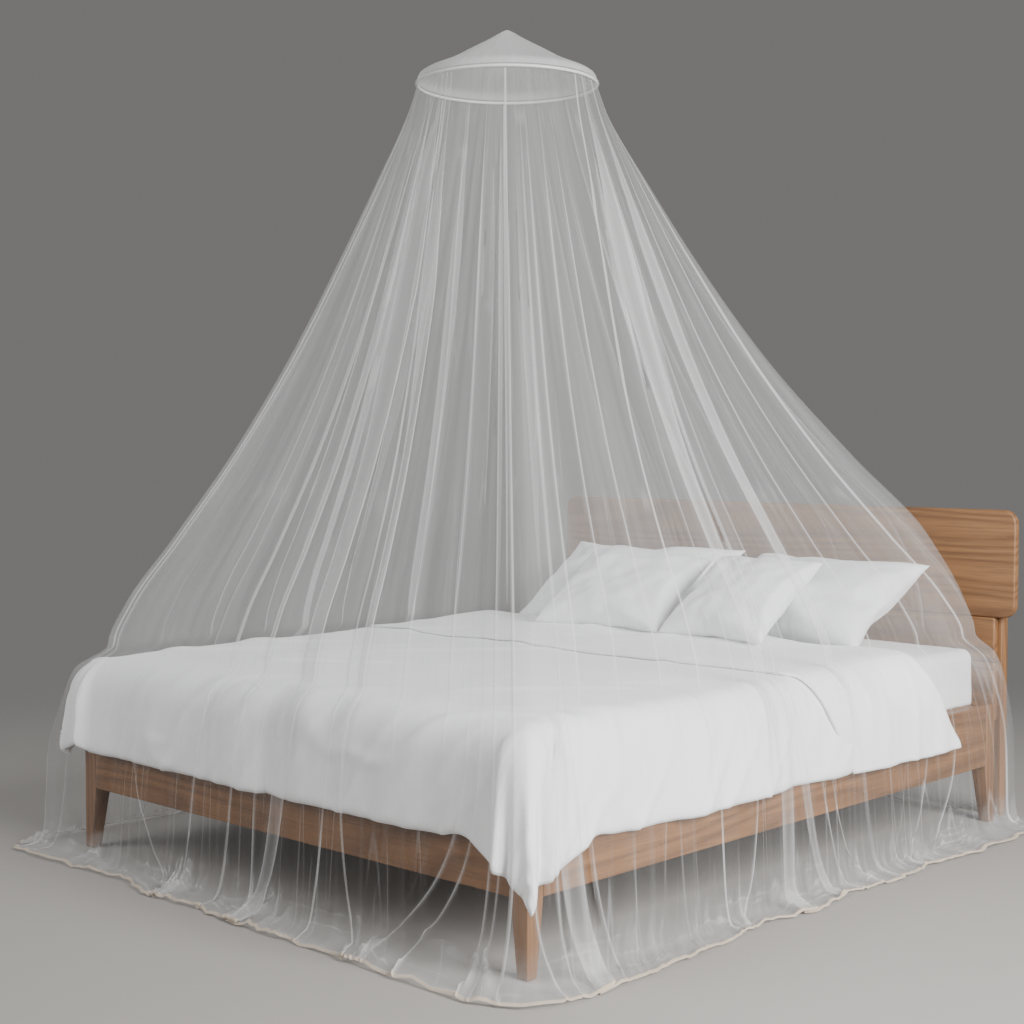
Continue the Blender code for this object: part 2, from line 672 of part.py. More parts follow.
def add_pillow(pillow, finish):
    """A filled cushion with drawn-in sides, its lower edge on what it lies on."""
    steps_u, steps_v = 10, 8
    made = bmesh.new()
    layers = {}
    for face in (1, -1):
        for i in range(steps_u + 1):
            for j in range(steps_v + 1):
                u, v = 2 * i / steps_u - 1, 2 * j / steps_v - 1
                rim = i in (0, steps_u) or j in (0, steps_v)
                if rim and face == -1:
                    layers[face, i, j] = layers[1, i, j]
                    continue
                x = u * pillow.width / 2 * (1 - 0.07 * (1 - v * v))
                y = v * pillow.height / 2 * (1 - 0.07 * (1 - u * u))
                crown = max((1 - u**4) * (1 - v**4), 0.0) ** 0.62
                layers[face, i, j] = made.verts.new((x, y, face * pillow.thickness / 2 * crown))
        for i in range(steps_u):
            for j in range(steps_v):
                corners = [(i, j), (i + 1, j), (i + 1, j + 1), (i, j + 1)]
                made.faces.new([layers[face, a, b] for a, b in corners[::face]])
    bmesh.ops.rotate(made, matrix=Matrix.Rotation(PILLOW_SLOPE, 3, "X"), verts=made.verts)
    lowest = min(made.verts, key=lambda v: v.co.z).co.z
    if pillow.row == "back":
        stands_on, edge = MATTRESS_TOP, PILLOW_BACK_FRONT_EDGE
    else:
        turned = 2 * (DUVET_THICKNESS + DUVET_LAYER_GAP / 2)
        stands_on, edge = MATTRESS_TOP + DUVET_LIFT + turned, PILLOW_FRONT_FRONT_EDGE
    front = min(v.co.y for v in made.verts)
    place = (pillow.x, edge - front, stands_on + GAP - lowest)
    bmesh.ops.translate(made, vec=place, verts=made.verts)
    return add_object(pillow.name, made, finish, smooth=True)


def main():
    clear_scene()
    floor = bpy.data.objects.new("bed_floor", None)
    floor.location = (-HOOP_X, -HOOP_Y, -APEX_HEIGHT)
    bpy.context.scene.collection.objects.link(floor)
    wood = material("oak", WOOD, 0.55)
    net = material("net", NET, 0.9)
    linen = material("linen", LINEN, 0.85)
    cotton = material("cotton", COTTON, 0.9)
    steel = material("rod", STEEL, 0.4, 0.6)
    add_crown(net)
    add_casing(net)
    add_hoop(steel)
    following = SEAMS[1:] + (Seam(*(value + 360 for value in SEAMS[0])),)
    for number, (first, last) in enumerate(zip(SEAMS, following), start=1):
        add_skirt_panel(number, first, last, net)
    add_frame(wood)
    add_base_and_mattress(wood, cotton)
    add_headboard(wood)
    add_duvet(linen)
    for pillow in PILLOWS:
        add_pillow(pillow, linen)
    bpy.context.view_layer.update()


main()
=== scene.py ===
"""A mosquito net canopy over a double bed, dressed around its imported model.

The net is one gathered cloth in eight gored widths, sewn to a casing round a hoop
with a cone crown above it. It spreads to the edges of the bed, falls to the floor
and lies there. The bed under it is made of oak, with a mattress in a fitted sheet,
a duvet turned back at the head and four pillows.

Lengths are metres. Shapes are worked out from the middle of the bed on the floor
and moved into the model's frame, whose origin is the crown's apex. Bearings are
degrees round the hoop's axis, from the bed's nearest corner past the near long side.
"""

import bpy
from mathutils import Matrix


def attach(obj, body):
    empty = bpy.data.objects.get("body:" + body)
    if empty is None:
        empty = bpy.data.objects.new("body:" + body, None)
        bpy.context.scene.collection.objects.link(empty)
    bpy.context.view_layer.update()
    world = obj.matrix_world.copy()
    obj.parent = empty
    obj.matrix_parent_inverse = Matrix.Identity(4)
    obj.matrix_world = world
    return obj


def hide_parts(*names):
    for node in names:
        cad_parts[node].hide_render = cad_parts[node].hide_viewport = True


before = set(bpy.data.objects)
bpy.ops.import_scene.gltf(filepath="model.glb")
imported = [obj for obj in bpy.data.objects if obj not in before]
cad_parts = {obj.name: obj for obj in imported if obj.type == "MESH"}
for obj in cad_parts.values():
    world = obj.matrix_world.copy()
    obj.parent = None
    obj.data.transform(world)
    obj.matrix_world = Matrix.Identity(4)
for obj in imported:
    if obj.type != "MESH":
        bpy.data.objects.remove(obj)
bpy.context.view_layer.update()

import logging
import math
from dataclasses import dataclass
from enum import Enum
from typing import NamedTuple, Sequence

import bmesh
import bpy
import numpy as np
from mathutils import Matrix, Vector, noise

LOG = logging.getLogger("canopy")
Triple = tuple[float, float, float]
Colour = Triple
Links = dict[str | int, object]

HOOP_X, HOOP_Y, APEX_HEIGHT = -0.128, -0.070, 2.373  # from the bed's middle on the floor
HOOP_RADIUS, HOOP_HEIGHT = 0.264, 2.213
FLOOR_ORIGIN = Vector((-HOOP_X, -HOOP_Y, -APEX_HEIGHT))  # middle of the bed on the floor
NET_MASKS = ("gathered", "low", "lying", "hem")


# ------------------------------------------------------------------ numbers


def eased(share: np.ndarray) -> np.ndarray:
    """Smooth step of a share, held between 0 and 1."""
    share = np.clip(share, 0.0, 1.0)
    return share * share * (3.0 - 2.0 * share)


def ramp(value: np.ndarray, start: float, end: float) -> np.ndarray:
    """Smooth step of a value, 0 at a start and 1 at an end, which may be the lower."""
    return eased((value - start) / (end - start))


def rows_of(*columns: np.ndarray | float) -> np.ndarray:
    """Rows of coordinates, from a column or one value for each coordinate."""
    return np.stack(np.broadcast_arrays(*columns), axis=-1)


def way_along(first: np.ndarray, second: np.ndarray) -> np.ndarray:
    """Length of the way to each point of a line, given by its two coordinates."""
    return np.concatenate(([0.0], np.cumsum(np.hypot(np.diff(first), np.diff(second)))))


def smooth_curve(knots: np.ndarray, values: np.ndarray, at: np.ndarray) -> np.ndarray:
    """A smooth curve through values that never swings past them.

    Args:
        knots: Rising places of the values.
        values: One value for each knot.
        at: Places where the curve is read.

    Returns:
        The curve's values.
    """
    steps = np.diff(knots)
    slopes = np.diff(values) / steps
    tangents = np.zeros_like(values)
    tangents[0], tangents[-1] = slopes[0], slopes[-1]
    for k in range(1, len(values) - 1):
        if slopes[k - 1] * slopes[k] > 0:
            first, second = 2 * steps[k] + steps[k - 1], steps[k] + 2 * steps[k - 1]
            tangents[k] = (first + second) / (first / slopes[k - 1] + second / slopes[k])
    k = np.clip(np.searchsorted(knots, at, side="right") - 1, 0, len(steps) - 1)
    t = np.clip((at - knots[k]) / steps[k], 0.0, 1.0)
    return (
        values[k] * (1 + 2 * t) * (1 - t) ** 2
        + values[k + 1] * t * t * (3 - 2 * t)
        + steps[k] * (tangents[k] * t * (1 - t) ** 2 - tangents[k + 1] * t * t * (1 - t))
    )


def noise_at(points: np.ndarray, seed: float, octaves: int = 1) -> np.ndarray:
    """Smooth noise from about -1 to 1 at rows of three coordinates.

    Args:
        points: Places, one row each, in units of the noise's size.
        seed: Moves the pattern to another place.
        octaves: How many layers are added, each twice as fine and half as strong.

    Returns:
        One value for each row.
    """
    total = np.zeros(len(points))
    for layer in range(octaves):
        scale = 2.0**layer
        total += np.array(
            [noise.noise(Vector((x + seed, y - seed, z + 2 * seed))) for x, y, z in points * scale]
        ) / scale
    return total


class Wave(NamedTuple):
    """A wave round the net.

    count is how many there are in a full turn, phase is in degrees, and lean is how
    far it moves on, in radians, for each metre down.
    """

    count: float
    strength: float
    phase: float = 0.0
    lean: float = 0.0


def waved(waves: Sequence[Wave], bearing: np.ndarray, way: np.ndarray | float = 0.0) -> np.ndarray:
    """The sum of some waves at bearings in degrees and metres down the net."""
    return sum(
        wave.strength * np.sin(np.radians(bearing * wave.count + wave.phase) + wave.lean * way)
        for wave in waves
    )


# ------------------------------------------------------------------ meshes


def grid_mesh(columns: int, rows: int) -> tuple[bmesh.types.BMesh, np.ndarray]:
    """A flat grid whose points are then moved onto a surface.

    Args:
        columns: Points across.
        rows: Points along.

    Returns:
        The grid, and for each of its points the (column, row) it stands for.
    """
    made = bmesh.new()
    bmesh.ops.create_grid(made, x_segments=columns - 1, y_segments=rows - 1, size=0.5)
    made.verts.ensure_lookup_table()
    flat = np.array([(v.co.x, v.co.y) for v in made.verts]) + 0.5
    places = np.rint(flat * np.array((columns - 1, rows - 1))).astype(int)
    return made, places


def points_of(made: bmesh.types.BMesh) -> np.ndarray:
    """A mesh's points, one row each."""
    return np.array([v.co for v in made.verts])


def move_points(made: bmesh.types.BMesh, points: np.ndarray) -> None:
    """Put a mesh's points, in their order, at new places."""
    for vertex, point in zip(made.verts, points):
        vertex.co = point


def add_side(made: bmesh.types.BMesh, side: bmesh.types.BMesh, turned: bool) -> None:
    """Add one cloth of a cover to a mesh.

    Args:
        made: The mesh.
        side: The cloth, which is freed.
        turned: Whether its faces are turned over first.
    """
    if turned:
        bmesh.ops.reverse_faces(side, faces=side.faces)
    held = bpy.data.meshes.new("side")
    side.to_mesh(held)
    side.free()
    made.from_mesh(held)
    bpy.data.meshes.remove(held)


def add_uv(piece: bpy.types.Object, places: np.ndarray) -> None:
    """Give a piece a UV map in metres of cloth.

    Args:
        piece: The piece.
        places: One place for each of its points.
    """
    layer = piece.data.uv_layers.new(name="cloth")
    corners = np.empty(len(piece.data.loops), dtype=np.int32)
    piece.data.loops.foreach_get("vertex_index", corners)
    layer.data.foreach_set("uv", places[corners].astype(np.float32).ravel())


def add_masks(piece: bpy.types.Object, **masks: np.ndarray) -> None:
    """Store what a net's finish reads at each point of a piece.

    Args:
        piece: The piece.
        masks: Values for some of the masks. The others are 0.
    """
    for name in NET_MASKS:
        values = np.broadcast_to(masks.get(name, 0.0), len(piece.data.vertices))
        layer = piece.data.attributes.new(name, "FLOAT", "POINT")
        layer.data.foreach_set("value", values.astype(np.float32))


def add_object(name: str, data: bpy.types.ID) -> bpy.types.Object:
    """Put a new object with its mesh, lamp or camera in the scene."""
    made = bpy.data.objects.new(name, data)
    bpy.context.scene.collection.objects.link(made)
    return made


def finish_piece(
    made: bmesh.types.BMesh,
    name: str,
    finish: bpy.types.Material,
    replaced: str,
    closed: bool = True,
) -> bpy.types.Object:
    """Turn a finished bmesh, in the bed's floor frame, into a riding piece.

    Args:
        made: The mesh, which is freed.
        name: The piece's name.
        finish: Its material.
        replaced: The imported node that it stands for.
        closed: Whether its faces are turned outwards as on a closed shape.

    Returns:
        The piece.
    """
    if closed:
        bmesh.ops.recalc_face_normals(made, faces=made.faces)
    bmesh.ops.translate(made, vec=FLOOR_ORIGIN, verts=made.verts)
    mesh = bpy.data.meshes.new(name)
    made.to_mesh(mesh)
    made.free()
    mesh.shade_smooth()
    mesh.materials.append(finish)
    piece = add_object(name, mesh)
    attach(piece, "root")
    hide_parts(replaced)
    LOG.info("%s: %d faces", name, len(mesh.polygons))
    return piece


# ------------------------------------------------------------------ shader nodes


def feed(tree: bpy.types.NodeTree, node: bpy.types.Node, links: Links) -> None:
    """Link or set a node's inputs.

    Args:
        tree: The node's tree.
        node: The node.
        links: For each input, by name or number, a socket to link or a value to set.
    """
    for key, value in links.items():
        socket = node.inputs[key]
        if isinstance(value, bpy.types.NodeSocket):
            tree.links.new(value, socket)
        else:
            socket.default_value = value


def add_node(
    tree: bpy.types.NodeTree, kind: str, links: Links | None = None, **settings: object
) -> bpy.types.Node:
    """Add a node to a tree.

    Args:
        tree: The tree.
        kind: The node's type, without "ShaderNode".
        links: For each input, by name or number, a socket to link or a value to set.
        settings: Properties of the node.

    Returns:
        The node.
    """
    made = tree.nodes.new("ShaderNode" + kind)
    for key, value in settings.items():
        setattr(made, key, value)
    feed(tree, made, links or {})
    return made


def mathed(
    tree: bpy.types.NodeTree, how: str, first: object, second: object = 0.0, clamp: bool = False
) -> bpy.types.NodeSocket:
    """The result of a Math node on values or sockets, held between 0 and 1 by clamp."""
    return add_node(tree, "Math", {0: first, 1: second}, operation=how, use_clamp=clamp).outputs[0]


def product(tree: bpy.types.NodeTree, first: object, *others: object) -> bpy.types.NodeSocket:
    """Values and sockets multiplied in turn."""
    for other in others:
        first = mathed(tree, "MULTIPLY", first, other)
    return first


def ranged(
    tree: bpy.types.NodeTree,
    value: bpy.types.NodeSocket,
    given: tuple[float, float],
    wanted: tuple[float, float] = (0.0, 1.0),
    how: str = "LINEAR",
) -> bpy.types.NodeSocket:
    """A value brought from one range to another.

    Args:
        tree: The tree that the node is added to.
        value: The value.
        given: The range that it comes from.
        wanted: The range that it is brought to.
        how: The way between the two ends.

    Returns:
        The result, held in the wanted range.
    """
    made = add_node(
        tree, "MapRange",
        {"Value": value, "From Min": given[0], "From Max": given[1],
         "To Min": wanted[0], "To Max": wanted[1]},
        interpolation_type=how,
    )
    return made.outputs[0]


def clouds(
    tree: bpy.types.NodeTree,
    place: bpy.types.NodeSocket,
    scale: object = 1.0,
    detail: float = 2.0,
    rough: float = 0.5,
    bent: float = 0.0,
) -> bpy.types.NodeSocket:
    """Noise at a place.

    Args:
        tree: The tree that the node is added to.
        place: The place.
        scale: How fine it is, as a value or a socket.
        detail: How many finer layers it has.
        rough: How strong those are.
        bent: How far it is bent by itself.

    Returns:
        The noise, from 0 to 1.
    """
    made = add_node(
        tree, "TexNoise",
        {"Vector": place, "Scale": scale, "Detail": detail, "Roughness": rough, "Distortion": bent},
    )
    return made.outputs[0]


def threads(
    tree: bpy.types.NodeTree, way: bpy.types.NodeSocket, pitch: bpy.types.NodeSocket
) -> bpy.types.NodeSocket:
    """Even waves along one way of a cloth, one for each pitch."""
    return mathed(tree, "SINE", product(tree, mathed(tree, "DIVIDE", way, pitch), 2 * math.pi))


def blended(
    tree: bpy.types.NodeTree, share: object, first: object, second: object, how: str = "MIX"
) -> bpy.types.NodeSocket:
    """Two colours mixed, with a share of the second."""
    links = {0: share, 6: first, 7: second}
    return add_node(tree, "Mix", links, data_type="RGBA", blend_type=how).outputs[2]


def raised(
    tree: bpy.types.NodeTree,
    height: bpy.types.NodeSocket,
    strength: float,
    distance: float,
    under: bpy.types.NodeSocket | None = None,
) -> bpy.types.NodeSocket:
    """A normal bent by heights.

    Args:
        tree: The tree that the node is added to.
        height: The heights.
        strength: How much of the relief shows.
        distance: How high it is.
        under: Another such normal that it lies on.

    Returns:
        The normal.
    """
    links = {"Height": height, "Strength": strength, "Distance": distance}
    if under:
        links["Normal"] = under
    return add_node(tree, "Bump", links).outputs[0]


def opaque(colour: Colour, shaded: float = 1.0) -> tuple[float, ...]:
    """A colour, shaded by a share, with its alpha."""
    return (*(shaded * value for value in colour), 1.0)


# ------------------------------------------------------------------ shader groups


@dataclass
class GroupMaker:
    """Builds a shader node group of maps, which reads a Place and some numbers."""

    name: str
    inputs: dict[str, float]
    outputs: tuple[str, ...]

    def __post_init__(self) -> None:
        """Make the group's sockets."""
        self.tree = bpy.data.node_groups.new(self.name, "ShaderNodeTree")
        face = self.tree.interface
        face.new_socket(name="Place", in_out="INPUT", socket_type="NodeSocketVector")
        for label, value in self.inputs.items():
            made = face.new_socket(name=label, in_out="INPUT", socket_type="NodeSocketFloat")
            made.default_value = value
        for label in self.outputs:
            face.new_socket(name=label, in_out="OUTPUT", socket_type="NodeSocketFloat")
        self.given = self.tree.nodes.new("NodeGroupInput").outputs
        self.result = self.tree.nodes.new("NodeGroupOutput")

    def finish(self, **sockets: bpy.types.NodeSocket) -> bpy.types.NodeTree:
        """Link the results to the group's outputs and return the group."""
        feed(self.tree, self.result, sockets)
        return self.tree


def streak_group() -> bpy.types.NodeTree:
    """Long fine streaks along a hanging net, from its UV map in metres.

    Returns:
        A group that gives broad and fine streaks, thin creases along and across the
        net, and its meshes.
    """
    group = GroupMaker(
        "net_streaks",
        {"Across": 55.0, "Along": 0.55, "Pitch": 0.0024},
        ("Broad", "Fine", "Lines", "Crinkles", "Meshes"),
    )
    tree, given = group.tree, group.given
    across, along, _ = add_node(tree, "SeparateXYZ", {0: given["Place"]}).outputs

    def drawn(share: float, seed: float, detail: float, stretch: float = 1.0) -> bpy.types.NodeSocket:
        """Noise drawn out along the net.

        Args:
            share: How fine it is across the net, as a share of the finest.
            seed: Moves the pattern to another place.
            detail: How many finer layers it has.
            stretch: How fine it is along the net.

        Returns:
            The noise.
        """
        place = add_node(tree, "CombineXYZ", {
            0: product(tree, given["Across"], share, across),
            1: product(tree, given["Along"], stretch, along),
            2: seed,
        })
        return clouds(tree, place.outputs[0], detail=detail)

    def masked(value: bpy.types.NodeSocket, low: float, high: float) -> bpy.types.NodeSocket:
        """A value from low to high brought to 0 to 1, smoothly."""
        return ranged(tree, value, (low, high), how="SMOOTHSTEP")

    def creases(share: float, seed: float, width: float, stretch: float = 1.6) -> bpy.types.NodeSocket:
        """Thin lines where the noise crosses its middle, and only in places.

        Args:
            share: How close they are, as a share of the finest.
            seed: Moves the pattern to another place.
            width: How wide they are.
            stretch: How short they are.

        Returns:
            The lines as a mask.
        """
        crossed = mathed(tree, "SUBTRACT", drawn(share, seed, 0.0, stretch), 0.5)
        there = drawn(share * 0.8, seed + 5.0, 1.0, 1.9 * stretch)
        line = masked(mathed(tree, "ABSOLUTE", crossed), width, 0.0)
        return product(tree, line, masked(there, 0.46, 0.60))

    return group.finish(
        Broad=masked(drawn(share=0.16, seed=3.0, detail=2.0), low=0.42, high=0.66),
        Fine=masked(drawn(share=1.0, seed=9.0, detail=2.0), low=0.48, high=0.74),
        Lines=mathed(
            tree, "MAXIMUM",
            creases(share=0.22, seed=14.0, width=0.018), creases(share=0.45, seed=23.0, width=0.022),
        ),
        Crinkles=creases(share=0.07, seed=31.0, width=0.075, stretch=52.0),
        Meshes=product(tree, *(threads(tree, way, given["Pitch"]) for way in (across, along))),
    )


def grain_group() -> bpy.types.NodeTree:
    """Oak's figure along local X: growth bands in tall arches, fibres and pores.

    Returns:
        A group that gives the bands, the fibres and the pores as masks.
    """
    group = GroupMaker("oak_grain", {"Seed": 0.0}, ("Bands", "Fibres", "Pores"))
    tree, given = group.tree, group.given
    shift = add_node(tree, "CombineXYZ", {axis: given["Seed"] for axis in range(3)})
    moved = add_node(tree, "VectorMath", {0: given["Place"], 1: shift.outputs[0]}, operation="ADD")

    def drawn(fineness: Triple, detail: float, rough: float) -> bpy.types.NodeSocket:
        """Noise drawn out along the grain.

        Args:
            fineness: How fine it is along and across the grain.
            detail: How many finer layers it has.
            rough: How strong those are.

        Returns:
            The noise.
        """
        links = {0: moved.outputs[0], 1: fineness}
        place = add_node(tree, "VectorMath", links, operation="MULTIPLY")
        return clouds(tree, place.outputs[0], detail=detail, rough=rough)

    band_count, band_edge = 24.0, 1.6
    arches = product(tree, drawn((0.55, 6.5, 6.5), detail=1.2, rough=0.4), band_count)
    bands = mathed(tree, "PINGPONG", arches, 1.0)
    return group.finish(
        Bands=mathed(tree, "POWER", bands, band_edge),
        Fibres=drawn((4.0, 150.0, 150.0), detail=3.0, rough=0.6),
        Pores=ranged(tree, drawn((9.0, 320.0, 320.0), detail=1.0, rough=0.5), (0.60, 0.70)),
    )


def cotton_group() -> bpy.types.NodeTree:
    """Washed cotton: small soft creases and a plain weave, on Object coordinates.

    Returns:
        A group that gives the creases' and the weave's heights and a slow tone.
    """
    group = GroupMaker("washed_cotton", {"Crease": 9.0, "Pitch": 0.0011}, ("Creases", "Weave", "Tone"))
    tree, given = group.tree, group.given
    split = add_node(tree, "SeparateXYZ", {0: given["Place"]})
    x, y, z = (threads(tree, axis, given["Pitch"]) for axis in split.outputs)
    return group.finish(
        Creases=clouds(tree, given["Place"], given["Crease"], detail=4.0, rough=0.45, bent=0.6),
        Weave=mathed(tree, "ADD", product(tree, x, y), product(tree, z, x)),
        Tone=clouds(tree, given["Place"], scale=2.2, detail=2.0),
    )


# ------------------------------------------------------------------ finishes


def new_material(name: str) -> tuple[bpy.types.Material, bpy.types.NodeTree, bpy.types.Node]:
    """A material with its tree and its Principled shader."""
    made = bpy.data.materials.new(name)
    made.use_nodes = True
    return made, made.node_tree, made.node_tree.nodes["Principled BSDF"]


def object_place(tree: bpy.types.NodeTree) -> bpy.types.NodeSocket:
    """A place on the piece in its own coordinates."""
    return add_node(tree, "TexCoord").outputs["Object"]


def group_maps(
    tree: bpy.types.NodeTree, group: bpy.types.NodeTree, place: bpy.types.NodeSocket, **values: float
) -> bpy.types.NodeOutputs:
    """The maps of a node group in a material, at a place and with its own numbers."""
    return add_node(tree, "Group", {"Place": place, **values}, node_tree=group).outputs


class Grain(Enum):
    """Which way the wood of a piece runs, as the turn that brings it to local X."""

    ACROSS = (0.0, 0.0, 0.0)
    ALONG = (0.0, 0.0, math.pi / 2)
    UP = (0.0, math.pi / 2, 0.0)


@dataclass(frozen=True)
class NetFinish:
    """Fine white net: sheer, and denser where it is gathered, sewn, doubled or lying.

    open_cover is the share of what is behind it that the open net hides, and the
    other covers are what each mask adds. low is the net below the bed's edge, where
    the streaks are calmer and the lines stronger.
    """

    name: str = "sheer_net"
    thread: Colour = (0.66, 0.66, 0.655)
    hem_thread: Colour = (0.50, 0.42, 0.33)
    open_cover: float = 0.120
    low_cover: float = -0.075
    streak_cover: float = 0.045
    low_calm: float = 0.7
    fine_cover: float = 0.035
    mesh_cover: float = 0.03
    line_cover: float = 0.085
    low_line_cover: float = 0.13
    lying_cover: float = 0.30
    crinkle_cover: float = 0.42
    gathered_cover: float = 0.34
    hem_cover: float = 0.60
    across: float = 55.0

    def build(self, streaks: bpy.types.NodeTree) -> bpy.types.Material:
        """Make the material.

        Args:
            streaks: The group that draws streaks on the cloth's UV map.

        Returns:
            The material.
        """
        made, tree, shader = new_material(self.name)
        place = add_node(tree, "UVMap", uv_map="cloth").outputs[0]
        maps = group_maps(tree, streaks, place, Across=self.across)
        gathered, low, lying, hem = (
            add_node(tree, "Attribute", attribute_name=name).outputs["Fac"] for name in NET_MASKS
        )
        calmer = product(tree, low, self.low_calm * self.streak_cover)
        stronger = product(tree, low, self.low_line_cover - self.line_cover)
        cover = product(tree, maps["Broad"], mathed(tree, "SUBTRACT", self.streak_cover, calmer))
        for mask, added in (
            (maps["Fine"], self.fine_cover),
            (maps["Meshes"], self.mesh_cover),
            (maps["Lines"], mathed(tree, "ADD", stronger, self.line_cover)),
            (gathered, self.gathered_cover),
            (low, self.low_cover),
            (lying, self.lying_cover),
            (hem, self.hem_cover),
            (product(tree, maps["Crinkles"], lying), self.crinkle_cover),
        ):
            cover = mathed(tree, "ADD", cover, product(tree, mask, added))
        feed(tree, shader, {
            "Base Color": blended(tree, hem, opaque(self.thread), opaque(self.hem_thread)),
            "Alpha": mathed(tree, "ADD", cover, self.open_cover, clamp=True),
            "Normal": raised(tree, maps["Fine"], strength=0.25, distance=0.002),
            "Roughness": 0.75,
            "Specular IOR Level": 0.25,
            "Sheen Weight": 0.2,
            "Sheen Roughness": 0.4,
        })
        return made


@dataclass(frozen=True)
class CasingFinish:
    """The doubled net of the casing round the hoop."""

    name: str = "casing_tape"
    colour: Colour = (0.88, 0.88, 0.87)
    shaded: float = 0.9
    cover: float = 0.18

    def build(self, cotton: bpy.types.NodeTree) -> bpy.types.Material:
        """Make the material.

        Args:
            cotton: The group that gives a weave.

        Returns:
            The material.
        """
        made, tree, shader = new_material(self.name)
        maps = group_maps(tree, cotton, object_place(tree), Crease=60.0, Pitch=0.0022)
        shade, light = opaque(self.colour, self.shaded), opaque(self.colour)
        feed(tree, shader, {
            "Base Color": blended(tree, maps["Tone"], shade, light),
            "Alpha": self.cover,
            "Normal": raised(tree, maps["Weave"], strength=0.3, distance=0.0006),
            "Roughness": 0.8,
        })
        return made


@dataclass(frozen=True)
class CottonFinish:
    """White washed cotton with small creases."""

    name: str
    colour: Colour = (0.84, 0.85, 0.86)
    shaded: float = 0.93
    crease: float = 9.0
    crease_height: float = 0.006

    def build(self, cotton: bpy.types.NodeTree) -> bpy.types.Material:
        """Make the material.

        Args:
            cotton: The group of creases and weave.

        Returns:
            The material.
        """
        made, tree, shader = new_material(self.name)
        maps = group_maps(tree, cotton, object_place(tree), Crease=self.crease, Pitch=0.0014)
        shade, light = opaque(self.colour, self.shaded), opaque(self.colour)
        weave = raised(tree, maps["Weave"], strength=0.12, distance=0.0004)
        feed(tree, shader, {
            "Base Color": blended(tree, maps["Tone"], shade, light),
            "Normal": raised(tree, maps["Creases"], 0.35, self.crease_height, under=weave),
            "Roughness": 0.82,
            "Sheen Weight": 0.25,
            "Sheen Roughness": 0.5,
        })
        return made


@dataclass(frozen=True)
class OakFinish:
    """Oiled oak, its grain along the piece."""

    name: str
    grain: Grain
    seed: float
    light: Colour = (0.226, 0.108, 0.042)
    dark: Colour = (0.142, 0.064, 0.024)
    pore: Colour = (0.10, 0.05, 0.025)
    pore_share: float = 0.45
    fibre_tone: tuple[float, float] = (0.78, 1.12)
    roughness: tuple[float, float] = (0.42, 0.62)

    def build(self, grain: bpy.types.NodeTree) -> bpy.types.Material:
        """Make the material.

        Args:
            grain: The group that draws oak's figure.

        Returns:
            The material.
        """
        made, tree, shader = new_material(self.name)
        turned = add_node(tree, "Mapping", {"Vector": object_place(tree), "Rotation": self.grain.value})
        maps = group_maps(tree, grain, turned.outputs[0], Seed=self.seed)
        fibre, pore = maps["Fibres"], maps["Pores"]
        banded = blended(tree, maps["Bands"], opaque(self.light), opaque(self.dark))
        tone = ranged(tree, fibre, (0.3, 0.7), self.fibre_tone)
        toned = blended(tree, 1.0, banded, tone, how="MULTIPLY")
        height = mathed(tree, "SUBTRACT", fibre, pore)
        feed(tree, shader, {
            "Base Color": blended(tree, product(tree, pore, self.pore_share), toned, opaque(self.pore)),
            "Roughness": ranged(tree, fibre, (0.0, 1.0), self.roughness),
            "Normal": raised(tree, height, strength=0.3, distance=0.0008),
        })
        return made


@dataclass(frozen=True)
class RodFinish:
    """White coated steel of the hoop, with a slight orange-peel texture."""

    name: str = "coated_rod"
    colour: Colour = (0.66, 0.66, 0.65)

    def build(self, cotton: bpy.types.NodeTree) -> bpy.types.Material:
        """Make the material.

        Args:
            cotton: The group whose creases serve, very fine, as the texture.

        Returns:
            The material.
        """
        made, tree, shader = new_material(self.name)
        maps = group_maps(tree, cotton, object_place(tree), Crease=180.0, Pitch=0.01)
        feed(tree, shader, {
            "Base Color": opaque(self.colour),
            "Normal": raised(tree, maps["Creases"], strength=0.1, distance=0.0004),
            "Roughness": 0.35,
        })
        return made


class Finishes:
    """Every finish of the bed and its net, built once. Oak has three cuts each way."""

    def __init__(self) -> None:
        """Build the groups and the materials."""
        streaks, grain, cotton = streak_group(), grain_group(), cotton_group()
        self.net = NetFinish().build(streaks)
        self.crown_net = NetFinish(
            "crown_net", open_cover=0.42, streak_cover=0.03, fine_cover=0.03, across=16.0
        ).build(streaks)
        self.casing = CasingFinish().build(cotton)
        self.rod = RodFinish().build(cotton)
        self.duvet = CottonFinish("duvet_cotton", (0.90, 0.905, 0.915), crease=7.0).build(cotton)
        self.pillow = CottonFinish("pillow_cotton", crease=14.0, crease_height=0.004).build(cotton)
        self.sheet = CottonFinish("sheet_cotton", (0.82, 0.825, 0.83), crease=6.0).build(cotton)
        self.oak = {
            way: [
                OakFinish(f"oak_{way.name.lower()}_{cut}", way, 3.1 + 2.7 * cut).build(grain)
                for cut in range(3)
            ]
            for way in Grain
        }


# ------------------------------------------------------------------ the net


class Level(NamedTuple):
    """The net's plan at one height, from the hoop down to the hem.

    spread is the share of the way from the rim to the outline, over_pillows the same
    at the head, the four sides are distances from the bed's middle, and near_corner
    and corner are the radii of the plan's corners. uneven is how much of the hem's
    uneven reach shows.
    """

    height: float
    spread: float
    over_pillows: float
    near: float
    far: float
    foot: float
    head: float
    near_corner: float
    corner: float
    uneven: float


